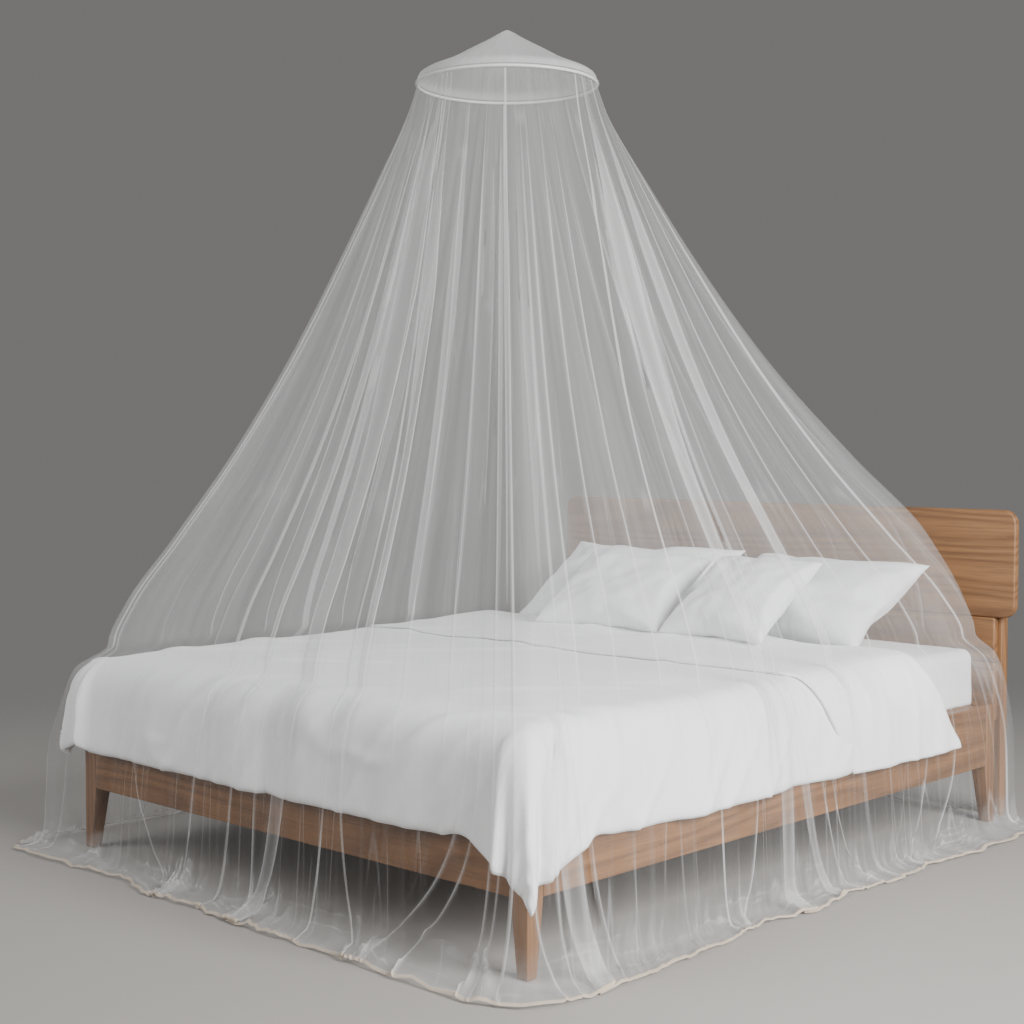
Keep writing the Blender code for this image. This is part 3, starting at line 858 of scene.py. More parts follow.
BED_OUTLINE = (0.842, 0.842, 1.014, 1.018, 0.07, 0.06, 0.0)  # a Level's last seven
LEVELS = (
    Level(2.2053, 0.000, 0.000, *BED_OUTLINE),
    Level(2.1200, 0.032, 0.034, *BED_OUTLINE),
    Level(1.9400, 0.124, 0.130, *BED_OUTLINE),
    Level(1.7000, 0.252, 0.268, *BED_OUTLINE),
    Level(1.4000, 0.424, 0.470, *BED_OUTLINE),
    Level(1.1200, 0.612, 0.705, *BED_OUTLINE),
    Level(0.8800, 0.800, 0.915, *BED_OUTLINE),
    Level(0.7000, 0.945, 0.985, *BED_OUTLINE),
    Level(0.5850, 1.000, 1.000, *BED_OUTLINE),
    Level(0.5200, 1.000, 1.000, 0.889, 0.894, 1.082, 1.048, 0.05, 0.04, 0.0),
    Level(0.4400, 1.000, 1.000, 0.913, 0.922, 1.106, 1.062, 0.04, 0.04, 0.0),
    Level(0.2900, 1.000, 1.000, 0.938, 0.968, 1.130, 1.068, 0.05, 0.04, 0.0),
    Level(0.1400, 1.000, 1.000, 0.947, 0.978, 1.140, 1.069, 0.08, 0.05, 0.0),
    Level(0.0480, 1.000, 1.000, 0.954, 0.985, 1.148, 1.071, 0.11, 0.06, 0.1),
    Level(0.0120, 1.000, 1.000, 0.968, 0.996, 1.164, 1.074, 0.14, 0.07, 0.3),
    Level(0.0060, 1.000, 1.000, 1.022, 1.034, 1.218, 1.084, 0.18, 0.08, 1.0),
)


class Line(NamedTuple):
    """A seam's bearings at the hoop, at the bed's edge and at the hem."""

    hoop: float
    edge: float
    hem: float


class FoldKind(Enum):
    """How a fold is laid."""

    SEAM = 0
    CREASE = 1
    PLEAT = 2


class Fold(NamedTuple):
    """A main fold: its bearings, its full width, and how strong it is above and below
    the bed's edge."""

    kind: FoldKind
    hoop: float
    edge: float
    hem: float
    width: float
    high: float
    low: float


class Reach(NamedTuple):
    """How far out the hem lies at a bearing, past its even outline."""

    bearing: float
    out: float


SEAMS = (
    Line(-84.0, -82.0, -82.0), Line(-40.0, -22.6, -24.5), Line(-1.2, 0.6, -0.6),
    Line(47.0, 27.0, 27.5), Line(92.0, 91.0, 90.0), Line(137.0, 136.0, 136.0),
    Line(182.0, 180.0, 180.0), Line(228.0, 229.0, 229.0),
)
SEAM, CREASE, PLEAT = FoldKind
FOLDS = (
    Fold(CREASE, -68.0, -77.0, -78.0, 0.014, 1.00, 0.45),
    Fold(CREASE, -63.5, -64.0, -53.0, 0.012, 0.10, 0.75),
    Fold(CREASE, -60.0, -54.5, -52.0, 0.012, 0.60, 0.10),
    Fold(PLEAT, -52.0, -49.0, -51.0, 0.024, 0.55, 0.30),
    Fold(PLEAT, -48.5, -40.8, -42.5, 0.022, 0.80, 0.40),
    Fold(CREASE, -45.8, -35.6, -35.4, 0.016, 0.00, 0.95),
    Fold(PLEAT, -43.5, -30.6, -34.6, 0.048, 1.00, 0.85),
    Fold(CREASE, -41.0, -26.2, -26.8, 0.010, 0.10, 0.40),
    Fold(PLEAT, -36.5, -19.9, -16.5, 0.024, 0.90, 0.30),
    Fold(CREASE, -24.0, -12.6, -15.9, 0.013, 0.80, 0.08),
    Fold(CREASE, -11.5, -6.4, -15.5, 0.012, 0.90, 0.12),
    Fold(CREASE, -8.0, -3.9, -15.0, 0.016, 0.10, 1.00),
    Fold(CREASE, -6.0, -2.5, -10.8, 0.013, 0.10, 0.95),
    Fold(CREASE, -3.8, -1.2, -3.1, 0.010, 0.90, 0.90),
    Fold(CREASE, -2.6, -0.4, -2.3, 0.009, 0.00, 0.75),
    Fold(CREASE, 2.0, 1.6, 3.6, 0.013, 0.05, 0.95),
    Fold(CREASE, 4.4, 3.9, 5.2, 0.011, 0.05, 0.75),
    Fold(PLEAT, 6.4, 5.3, 8.0, 0.034, 0.08, 1.00),
    Fold(CREASE, 9.0, 7.5, 10.6, 0.012, 0.90, 0.75),
    Fold(CREASE, 17.0, 12.6, 13.6, 0.012, 0.90, 0.25),
    Fold(CREASE, 24.0, 19.4, 20.5, 0.012, 0.90, 0.30),
    Fold(CREASE, 50.5, 34.6, 30.0, 0.014, 0.60, 0.95),
    Fold(PLEAT, 54.0, 41.2, 40.6, 0.038, 1.00, 0.95),
    Fold(PLEAT, 56.4, 45.0, 49.6, 0.022, 0.25, 0.90),
    Fold(CREASE, 58.0, 48.6, 54.0, 0.013, 0.60, 0.95),
    Fold(CREASE, 61.0, 51.2, 58.0, 0.011, 0.15, 0.80),
    Fold(PLEAT, 66.0, 59.8, 61.6, 0.028, 0.90, 0.14),
    Fold(CREASE, 72.0, 71.0, 65.0, 0.012, 0.90, 0.25),
    Fold(CREASE, 76.0, 76.2, 69.0, 0.011, 0.15, 0.70),
    Fold(CREASE, 80.0, 82.0, 74.0, 0.014, 0.90, 0.90),
    Fold(CREASE, 101.0, 101.0, 102.0, 0.014, 0.70, 0.40),
    Fold(CREASE, 113.0, 112.0, 112.0, 0.014, 0.45, 0.60),
    Fold(CREASE, 126.0, 124.0, 124.0, 0.016, 0.70, 0.30),
    Fold(CREASE, 148.0, 146.0, 147.0, 0.014, 0.60, 0.50),
    Fold(CREASE, 159.0, 157.0, 157.0, 0.012, 0.80, 0.30),
    Fold(CREASE, 175.0, 174.0, 174.5, 0.016, 0.60, 0.60),
    Fold(CREASE, 194.0, 192.0, 190.0, 0.014, 0.80, 0.40),
    Fold(PLEAT, 206.0, 205.0, 208.0, 0.030, 0.80, 0.70),
    Fold(CREASE, 217.0, 218.0, 216.0, 0.012, 0.60, 0.50),
    Fold(PLEAT, 240.0, 241.0, 243.0, 0.034, 0.70, 0.80),
    Fold(CREASE, 251.0, 252.0, 250.0, 0.014, 0.80, 0.40),
    Fold(CREASE, 263.0, 264.0, 266.0, 0.012, 0.60, 0.70),
)
HEM_REACH = (
    Reach(-78.0, 0.000), Reach(-60.0, -0.028), Reach(-53.0, 0.012), Reach(-42.5, -0.004),
    Reach(-36.0, 0.012), Reach(-21.5, 0.010), Reach(-16.0, 0.014), Reach(-11.0, 0.022),
    Reach(-4.2, 0.026), Reach(9.6, 0.018), Reach(13.6, 0.020), Reach(20.5, 0.006),
    Reach(32.5, -0.022), Reach(42.0, 0.006), Reach(52.0, -0.020), Reach(62.0, 0.008),
    Reach(70.0, -0.012), Reach(79.0, 0.020), Reach(102.0, 0.000), Reach(174.5, 0.000),
    Reach(192.0, 0.010), Reach(207.0, -0.012), Reach(217.0, 0.012), Reach(242.0, -0.010),
    Reach(252.0, 0.014), Reach(263.0, -0.006),
)
HEM_WAVES = (Wave(61, 0.0035), Wave(107, 0.0025, 40))
NET_WAVES = (
    Wave(23, 0.45, 10, 0.3), Wave(37, 0.30, 70, -0.5),
    Wave(61, 0.28, 200, 0.4), Wave(97, 0.22, 310, -0.3),
)


class Station(NamedTuple):
    """A point across a fold: along it in half widths, outward in its heights."""

    along: float
    outward: float
    gathered: float


STATIONS = {
    SEAM: (
        Station(-1.0, 0.0, 0.0), Station(-0.8, 0.5, 1.0), Station(0.0, 1.0, 1.0),
        Station(0.8, 0.5, 1.0), Station(1.0, 0.0, 0.0),
    ),
    CREASE: (
        Station(-1.0, 0.00, 0.0), Station(-0.55, 0.12, 0.05), Station(-0.26, 0.48, 0.4),
        Station(-0.09, 0.92, 1.0), Station(0.09, 1.00, 1.0), Station(0.26, 0.56, 0.4),
        Station(0.55, 0.14, 0.05), Station(1.0, 0.00, 0.0),
    ),
    PLEAT: (
        Station(-1.0, 0.80, 0.15), Station(-0.4, 0.98, 0.10), Station(0.3, 1.02, 0.10),
        Station(0.93, 1.00, 0.3), Station(1.02, 0.80, 0.7), Station(1.02, 0.25, 0.7),
        Station(0.93, 0.02, 0.3), Station(0.3, 0.00, 0.0), Station(-0.3, 0.00, 0.0),
        Station(-0.93, -0.02, 0.3), Station(-1.02, -0.25, 0.7), Station(-1.02, -0.80, 0.7),
        Station(-0.93, -1.00, 0.3), Station(-0.3, -1.02, 0.0), Station(0.4, -0.98, 0.0),
        Station(1.0, -0.80, 0.15),
    ),
}


@dataclass
class NetShape:
    """The net's surface round the hoop's axis, as a function of bearing and way down.

    near_bearing is where the nearest corner lies, in radians from X. pillow_side
    holds the bearings at which the net begins to spread over the pillows, is fully
    spread, begins to draw in and is drawn in. Folds turn quickly below the hoop and
    just above the floor, as the two powers say, and have hoop_width of their full
    width down to drawn_height, and all of it from full_height on.
    """

    near_bearing: float = math.radians(-46.26)
    edge_height: float = 0.585
    pillow_side: tuple[float, float, float, float] = (90.5, 98.5, 166.5, 176.0)
    search_reach: float = 2.2
    search_steps: int = 22
    hoop_power: float = 2.4
    floor_power: float = 3.2
    hoop_width: float = 0.16
    drawn_height: float = 2.17
    full_height: float = 1.70

    def __post_init__(self) -> None:
        """Measure the way down through the levels."""
        self.levels = Level(*np.array(LEVELS).T)
        across = HOOP_RADIUS + (self.levels.near - HOOP_X - HOOP_RADIUS) * self.levels.spread
        self.knots = way_along(self.levels.height, across)
        self.length = float(self.knots[-1])

    def level(self, way: np.ndarray) -> Level:
        """The levels' columns at places on the way down, smooth between the rows."""
        return Level(*(smooth_curve(self.knots, values, way) for values in self.levels))

    def outline_reach(self, bearing: np.ndarray, at: Level) -> np.ndarray:
        """Distance from the hoop's axis to the plan's outline along bearings.

        Args:
            bearing: The bearings.
            at: The outline at each of them.

        Returns:
            The distances.
        """
        angle = self.near_bearing + np.radians(bearing)
        along_x, along_y = np.cos(angle), np.sin(angle)
        middle_x, half_x = (at.near - at.far) / 2, (at.near + at.far) / 2
        middle_y, half_y = (at.head - at.foot) / 2, (at.head + at.foot) / 2
        inside, beyond = np.zeros_like(angle), np.full_like(angle, self.search_reach)
        for _ in range(self.search_steps):
            tried = (inside + beyond) / 2
            x = HOOP_X + along_x * tried - middle_x
            y = HOOP_Y + along_y * tried - middle_y
            radius = np.where((x > 0) & (y < 0), at.near_corner, at.corner)
            over_x, over_y = np.abs(x) - half_x + radius, np.abs(y) - half_y + radius
            away = np.hypot(np.maximum(over_x, 0), np.maximum(over_y, 0))
            out = away + np.minimum(np.maximum(over_x, over_y), 0) > radius
            beyond, inside = np.where(out, tried, beyond), np.where(out, inside, tried)
        return inside

    def hem_reach(self, bearing: np.ndarray) -> np.ndarray:
        """How much further out the hem lies, with its small waves.

        Args:
            bearing: The bearings.

        Returns:
            The distances past its even outline.
        """
        first, last = HEM_REACH[0], HEM_REACH[-1]
        marks = (Reach(last.bearing - 360, last.out), *HEM_REACH, Reach(first.bearing + 360, first.out))
        places, values = np.array(marks).T
        turned = (bearing - first.bearing) % 360 + first.bearing
        k = np.clip(np.searchsorted(places, turned) - 1, 0, len(places) - 2)
        share = ramp(turned, places[k], places[k + 1])
        return values[k] * (1 - share) + values[k + 1] * share + waved(HEM_WAVES, turned)

    def base(self, bearing: np.ndarray, way: np.ndarray) -> np.ndarray:
        """The net without its folds.

        Args:
            bearing: The bearings.
            way: Metres down from the hoop.

        Returns:
            Points, one row each.
        """
        at = self.level(way)
        low, full, fade, none = self.pillow_side
        pillows = ramp(bearing, low, full) * (1 - ramp(bearing, fade, none))
        share = at.spread * (1 - pillows) + at.over_pillows * pillows
        reach = HOOP_RADIUS + (self.outline_reach(bearing, at) - HOOP_RADIUS) * share
        reach = reach + at.uneven * self.hem_reach(bearing)
        angle = self.near_bearing + np.radians(bearing)
        return rows_of(HOOP_X + np.cos(angle) * reach, HOOP_Y + np.sin(angle) * reach, at.height)

    def outward(self, bearing: np.ndarray, way: np.ndarray) -> np.ndarray:
        """Unit vectors out of the net's surface.

        Args:
            bearing: The bearings.
            way: Metres down from the hoop.

        Returns:
            The vectors, one row each.
        """
        turn, step = 0.5, 0.02
        across = self.base(bearing + turn, way) - self.base(bearing - turn, way)
        up, down = np.maximum(way - step, 0.0), np.minimum(way + step, self.length)
        along = self.base(bearing, down) - self.base(bearing, up)
        out = np.cross(along, across)
        return out / np.linalg.norm(out, axis=-1, keepdims=True)

    def line_bearing(self, line: Line | Fold, height: np.ndarray) -> np.ndarray:
        """Where fold lines run.

        Args:
            line: The lines' bearings at the hoop, the edge and the hem.
            height: The height of a point on each.

        Returns:
            The points' bearings.
        """
        above = np.clip((height - self.edge_height) / (HOOP_HEIGHT - self.edge_height), 0, 1)
        upper = line.edge + (line.hoop - line.edge) * above**self.hoop_power
        fallen = np.clip(1 - height / self.edge_height, 0, 1)
        lower = line.hem + (line.edge - line.hem) * (1 - fallen**self.floor_power)
        return np.where(height >= self.edge_height, upper, lower)

    def strength(self, fold: Fold, height: np.ndarray) -> np.ndarray:
        """How strong folds are at heights, from what they are above and below the edge."""
        below = ramp(height, self.edge_height + 0.06, self.edge_height - 0.22)
        return fold.high + (fold.low - fold.high) * below

    def growth(self, height: np.ndarray) -> np.ndarray:
        """Share of their full width that folds have at heights."""
        grown = ramp(height, self.drawn_height, self.full_height)
        return self.hoop_width + (1 - self.hoop_width) * grown


class Cut(NamedTuple):
    """How one width of net is cut: across its top, which is gathered, and its hem."""

    top: float
    hem: float


class Column(NamedTuple):
    """What a column of points down a panel follows.

    It runs a share of the way from the fold on its left to the one on its right, and
    is off each by some of the fold's half widths. rise is its height out of the
    cloth, and gathered is how doubled the net is there.
    """

    left: Fold
    right: Fold
    share: float
    left_off: float
    right_off: float
    rise: float = 0.0
    gathered: float = 0.0


@dataclass
class Skirt:
    """The eight widths of net below the hoop, with their seams and hem.

    Lengths of cloth on the floor are measured from the hem. mean_reach is how far
    the net is from the hoop's axis as its streaks count it.
    """

    shape: NetShape
    finishes: Finishes
    plain_step: float = 0.0095
    rows: int = 126
    layer_gap: float = 0.0046
    crease_rise: float = 0.30
    pleat_margin: float = 2.0
    least_pleat: float = 0.06
    least_reach: float = 0.27
    mean_reach: float = 1.12
    bed_reach: float = 1.05
    seam_width: float = 0.006
    seam_rise: float = 0.0012
    ripple: float = 0.0042
    hem_steps: tuple[float, ...] = (0.012, 0.009, 0.006, 0.003, 0.0)
    hem_roll: float = 0.0042
    hem_length: float = 0.011
    lying_length: float = 0.17
    lying_turn: float = 1.5
    streak_rise: float = 0.006
    heap_rise: float = 0.028
    crumple_rise: float = 0.009
    floor_gap: float = 0.0022
    behind_duvet: float = 0.55
    cut_length: float = 2.60
    cuts: tuple[Cut, ...] = (
        Cut(0.40, 1.62), Cut(0.30, 0.74), Cut(0.30, 0.95), Cut(0.40, 1.72),
        Cut(0.30, 1.21), Cut(0.30, 1.12), Cut(0.30, 1.08), Cut(0.30, 1.18),
    )

    def ways(self) -> np.ndarray:
        """Rows of points down the net, closer towards the floor, and the hem's own."""
        share = np.linspace(0.0, 1.0, self.rows)
        crowd = share + 0.045 * np.sin(math.pi * share) ** 2 + 0.02 * np.sin(math.pi * share)
        body = (self.shape.length - 0.02) * crowd
        return np.concatenate((body, self.shape.length - np.array(self.hem_steps)))

    def fold_columns(self, fold: Fold, stations: Sequence[Station]) -> list[Column]:
        """The columns of points across a fold.

        Args:
            fold: The fold or seam.
            stations: The stations of its kind.

        Returns:
            The columns.
        """
        rises = {SEAM: self.seam_rise, CREASE: self.crease_rise * fold.width, PLEAT: self.layer_gap}
        return [
            Column(fold, fold, 0.0, at.along, 0.0, rises[fold.kind] * at.outward, at.gathered)
            for at in stations
        ]

    def plain_columns(self, fold: Fold, after: Fold) -> list[Column]:
        """The columns of points between two folds.

        Args:
            fold: The first.
            after: The second.

        Returns:
            The columns. A pleat's outer layers end on the first or the last of them.
        """
        offs = [self.pleat_margin if side.kind is PLEAT else 1.0 for side in (fold, after)]
        middle = self.shape.near_bearing + math.radians((fold.edge + after.edge) / 2)
        reach = self.bed_reach / max(abs(math.cos(middle)), abs(math.sin(middle)))
        pieces = max(2, round(math.radians(after.edge - fold.edge) * reach / self.plain_step))
        start, stop = (0 if fold.kind is PLEAT else 1), (pieces + 1 if after.kind is PLEAT else pieces)
        return [Column(fold, after, j / pieces, offs[0], -offs[1]) for j in range(start, stop)]

    def columns(self, number: int) -> list[Column]:
        """The columns of points across a panel, from the middle of a seam to the next.

        Args:
            number: The panel, from 0.

        Returns:
            The columns.
        """
        first, last = SEAMS[number], SEAMS[(number + 1) % len(SEAMS)]
        turn = 360.0 if number == len(SEAMS) - 1 else 0.0
        last = Line(*(value + turn for value in last))
        inside = sorted((f for f in FOLDS if first.edge < f.edge < last.edge), key=lambda f: f.edge)
        start, end = (Fold(SEAM, *line, self.seam_width, 1.0, 1.0) for line in (first, last))
        folds, half = [start, *inside, end], len(STATIONS[SEAM]) // 2
        made = self.fold_columns(start, STATIONS[SEAM][half:])
        for fold, after in zip(folds, folds[1:]):
            made += self.plain_columns(fold, after)
            stations = STATIONS[after.kind]
            made += self.fold_columns(after, stations[:half + 1] if after is end else stations)
        return made

    def panel(self, number: int) -> bpy.types.Object:
        """Build and dress one width of net.

        Args:
            number: The panel, from 0.

        Returns:
            The piece, which replaces its solid.
        """
        shape, table, ways = self.shape, Column(*zip(*self.columns(number))), self.ways()
        made, places = grid_mesh(len(table.share), len(ways))
        column, way = places[:, 0], ways[len(ways) - 1 - places[:, 1]]
        share, rise, gathered = (
            np.array(values)[column] for values in (table.share, table.rise, table.gathered)
        )
        left, right = (
            Fold(*(np.array(values)[column] for values in zip(*side)))
            for side in (table.left, table.right)
        )
        at = shape.level(way)
        growth, reach = shape.growth(at.height), np.maximum(self.least_reach, at.near * at.spread)
        bearings, strengths = [], []
        for fold, offs in ((left, table.left_off), (right, table.right_off)):
            strength = shape.strength(fold, at.height)
            pleated = np.where(fold.kind == PLEAT, np.maximum(strength, self.least_pleat), 1.0)
            spread = np.where(fold.kind == SEAM, 1.0, growth * pleated)
            off = np.array(offs)[column] * fold.width / 2 * spread / reach
            bearings.append(shape.line_bearing(fold, at.height) + np.degrees(off))
            strengths.append(strength)
        strength = strengths[0] * (1 - share) + strengths[1] * share
        bearing = bearings[0] * (1 - share) + bearings[1] * share
        bearing = bearing + self.swept(bearing, way)
        rise = rise * growth * np.where(left.kind == PLEAT, 1.0, strength)
        rise = rise + self.ripple * growth * waved(NET_WAVES, bearing, way)
        points = shape.base(bearing, way) + shape.outward(bearing, way) * rise[:, None]
        lying = self.laid_down(points, bearing, way)
        move_points(made, points)
        piece = finish_piece(
            made, f"net_panel_{number + 1}", self.finishes.net, f"skirt_panel_{number + 1}",
            closed=False,
        )
        add_uv(piece, rows_of(np.radians(bearing) * self.mean_reach, shape.length - way))
        faint = 1 - self.behind_duvet * ramp(at.height, 0.60, 0.54) * ramp(at.height, 0.20, 0.30)
        fine = np.where(left.kind == SEAM, 1.0, 0.35 + 0.65 * growth)
        add_masks(
            piece,
            gathered=gathered * strength * faint * fine,
            low=ramp(at.height, 0.53, 0.38),
            lying=lying,
            hem=ramp(shape.length - way, 0.009, 0.006),
        )
        return piece

    def swept(self, bearing: np.ndarray, way: np.ndarray) -> np.ndarray:
        """How far the cloth that lies on the floor is swept aside.

        Args:
            bearing: The points' bearings.
            way: Their ways down the net.

        Returns:
            The turns, in degrees.
        """
        lying = np.clip(1 - (self.shape.length - way) / self.lying_length, 0, 1) ** 1.6
        return self.lying_turn * lying * noise_at(rows_of(bearing * 0.10, 0.0, 0.0), seed=51.0, octaves=2)

    def laid_down(self, points: np.ndarray, bearing: np.ndarray, way: np.ndarray) -> np.ndarray:
        """Crumple the part that lies on the floor and roll its hem.

        Args:
            points: The net's points, which are moved and kept above the floor.
            bearing: Their bearings.
            way: Their ways down the net.

        Returns:
            How heaped the net lies at each of them.
        """
        left = self.shape.length - way
        lying = ramp(left, self.lying_length, 0.08) * (0.25 + 0.75 * ramp(left, 0.0, 0.05))
        there = lying > 0
        spots = rows_of(bearing, way, 0.0)[there]
        slanted = spots + spots[:, 1:2] * (5.0, 0.0, 0.0)
        streaks = 1 - np.minimum(np.abs(noise_at(slanted * (0.60, 5.0, 0), seed=4.0, octaves=2)) * 2.6, 1)
        heaps = eased(noise_at(spots * (0.11, 3.0, 0), seed=8.0, octaves=2) * 1.2 + 0.3)
        crumple = np.abs(noise_at(slanted * (0.95, 12.0, 0), seed=14.0))
        rise = streaks**2 * (self.streak_rise + self.heap_rise * heaps) + self.crumple_rise * crumple
        points[there, 2] += lying[there] * rise
        points[:, 2] += self.hem_roll * np.sin(math.pi * np.clip(1 - left / self.hem_length, 0, 1))
        points[:, 2] = np.maximum(points[:, 2], self.floor_gap)
        heaped = 0.30 * ramp(left, 0.15, 0.05)
        heaped[there] += 0.7 * lying[there] * streaks**2 * (0.35 + 0.65 * heaps)
        return heaped

    def build(self) -> None:
        """Build the panels."""
        for number in range(len(SEAMS)):
            self.panel(number)


@dataclass
class Rim:
    """The crown, the hoop and the casing round it, all turned on one axis.

    The crown's profile is given as (distance from the axis, depth below the apex),
    and flat_crown is the cloth that it is cut from.
    """

    finishes: Finishes
    rod_radius: float = 0.004
    casing_radius: float = 0.0066
    casing_slot: float = math.radians(70)
    casing_pull: float = 0.0004
    flat_crown: tuple[float, float] = (0.62, 0.60)
    crown_area: float = 0.262
    gather_rise: float = 0.0009
    gathers: tuple[Wave, ...] = (
        Wave(24, 0.5, math.degrees(1.2)), Wave(41, 0.3), Wave(67, 0.2, math.degrees(2)),
    )
    crown_profile: tuple[tuple[float, float], ...] = (
        (0.000, 0.0000), (0.014, 0.0060), (0.050, 0.0275), (0.115, 0.0630), (0.180, 0.0985),
        (0.222, 0.1165), (0.250, 0.1290), (0.262, 0.1400), (0.264, 0.1525),
    )

    def turned(
        self, profile: Sequence[tuple[float, float]], steps: int, closed: bool = False
    ) -> bmesh.types.BMesh:
        """Turn an outline round the hoop's axis.

        Args:
            profile: The outline's points, as (radius, height).
            steps: How many steps make the full turn.
            closed: Whether the outline returns to its first point.

        Returns:
            The turned surface.
        """
        made = bmesh.new()
        corners = [made.verts.new((radius, 0.0, height)) for radius, height in profile]
        edges = [made.edges.new(pair) for pair in zip(corners, corners[1:])]
        if closed:
            edges.append(made.edges.new((corners[-1], corners[0])))
        bmesh.ops.spin(
            made, geom=corners + edges, cent=(0, 0, 0), axis=(0, 0, 1), angle=2 * math.pi,
            steps=steps, use_merge=True,
        )
        bmesh.ops.remove_doubles(made, verts=made.verts, dist=1e-5)
        bmesh.ops.translate(made, vec=(HOOP_X, HOOP_Y, 0.0), verts=made.verts)
        return made

    def around_rod(self, radius: float, turns: Sequence[float]) -> list[tuple[float, float]]:
        """Points of an arc round the rod's own middle, as (radius, height)."""
        return [(HOOP_RADIUS + radius * math.cos(a), HOOP_HEIGHT + radius * math.sin(a)) for a in turns]

    def seen_from_axis(self, spots: np.ndarray) -> tuple[np.ndarray, np.ndarray]:
        """Angles in radians round the hoop's axis, and distances from it, of points."""
        x, y = spots[:, 0] - HOOP_X, spots[:, 1] - HOOP_Y
        return np.arctan2(y, x), np.hypot(x, y)

    def crown(self) -> bpy.types.Object:
        """The cone of net above the hoop, drawn in at its point, with faint gathers.

        Returns:
            The piece.
        """
        radii, depths = np.array(self.crown_profile).T
        way = way_along(radii, depths)
        read = way[-1] * np.linspace(0.0, 1.0, 30) ** 0.9
        radii, depths = (smooth_curve(way, values, read) for values in (radii, depths))
        made = self.turned(list(zip(radii, APEX_HEIGHT - depths)), steps=144)
        spots = points_of(made)
        angle, distance = self.seen_from_axis(spots)
        reach = distance / HOOP_RADIUS
        gathers = waved(self.gathers, np.degrees(angle))
        spots[:, 2] += self.gather_rise * gathers * reach**2 * (1 - reach**8)
        move_points(made, spots)
        piece = finish_piece(made, "crown_cloth", self.finishes.crown_net, "crown", closed=False)
        add_uv(piece, rows_of(angle * HOOP_RADIUS, reach * way[-1]))
        edge = 0.12 * ramp(gathers, 0.35, 0.85) + 0.15 * ramp(reach, 0.93, 1.0)
        add_masks(piece, gathered=edge + 0.6 * ramp(reach, 0.12, 0.02))
        return piece

    def casing(self) -> bpy.types.Object:
        """The band of cloth round the rod, open on the inside and finely gathered.

        Returns:
            The piece.
        """
        start, stop = math.pi + self.casing_slot / 2, 3 * math.pi - self.casing_slot / 2
        made = self.turned(self.around_rod(self.casing_radius, np.linspace(start, stop, 15)), steps=240)
        spots = points_of(made)
        angle, _ = self.seen_from_axis(spots)
        pulled = self.casing_pull * np.sin(60 * angle) * np.sin(23 * angle + 1)
        move_points(made, spots + pulled[:, None] * rows_of(np.cos(angle), np.sin(angle), 1.0))
        piece = finish_piece(
            made, "hoop_casing_cloth", self.finishes.casing, "hoop_casing", closed=False
        )
        return piece

    def hoop(self) -> bpy.types.Object:
        """The stiff ring inside the casing.

        Returns:
            The piece.
        """
        sides = 12
        ring = self.around_rod(self.rod_radius, [2 * math.pi * k / sides for k in range(sides)])
        made = self.turned(ring, steps=144, closed=True)
        return finish_piece(made, "hoop_ring", self.finishes.rod, "hoop")

    def build(self) -> None:
        """Build the three."""
        self.crown()
        self.casing()
        self.hoop()


# ------------------------------------------------------------------ bedding


class FallStep(NamedTuple):
    """The duvet's side as it falls: length of cloth, then how far out and down it is.

    near_out is how far out it is on the near side.
    """

    length: float
    out: float
    near_out: float
    down: float


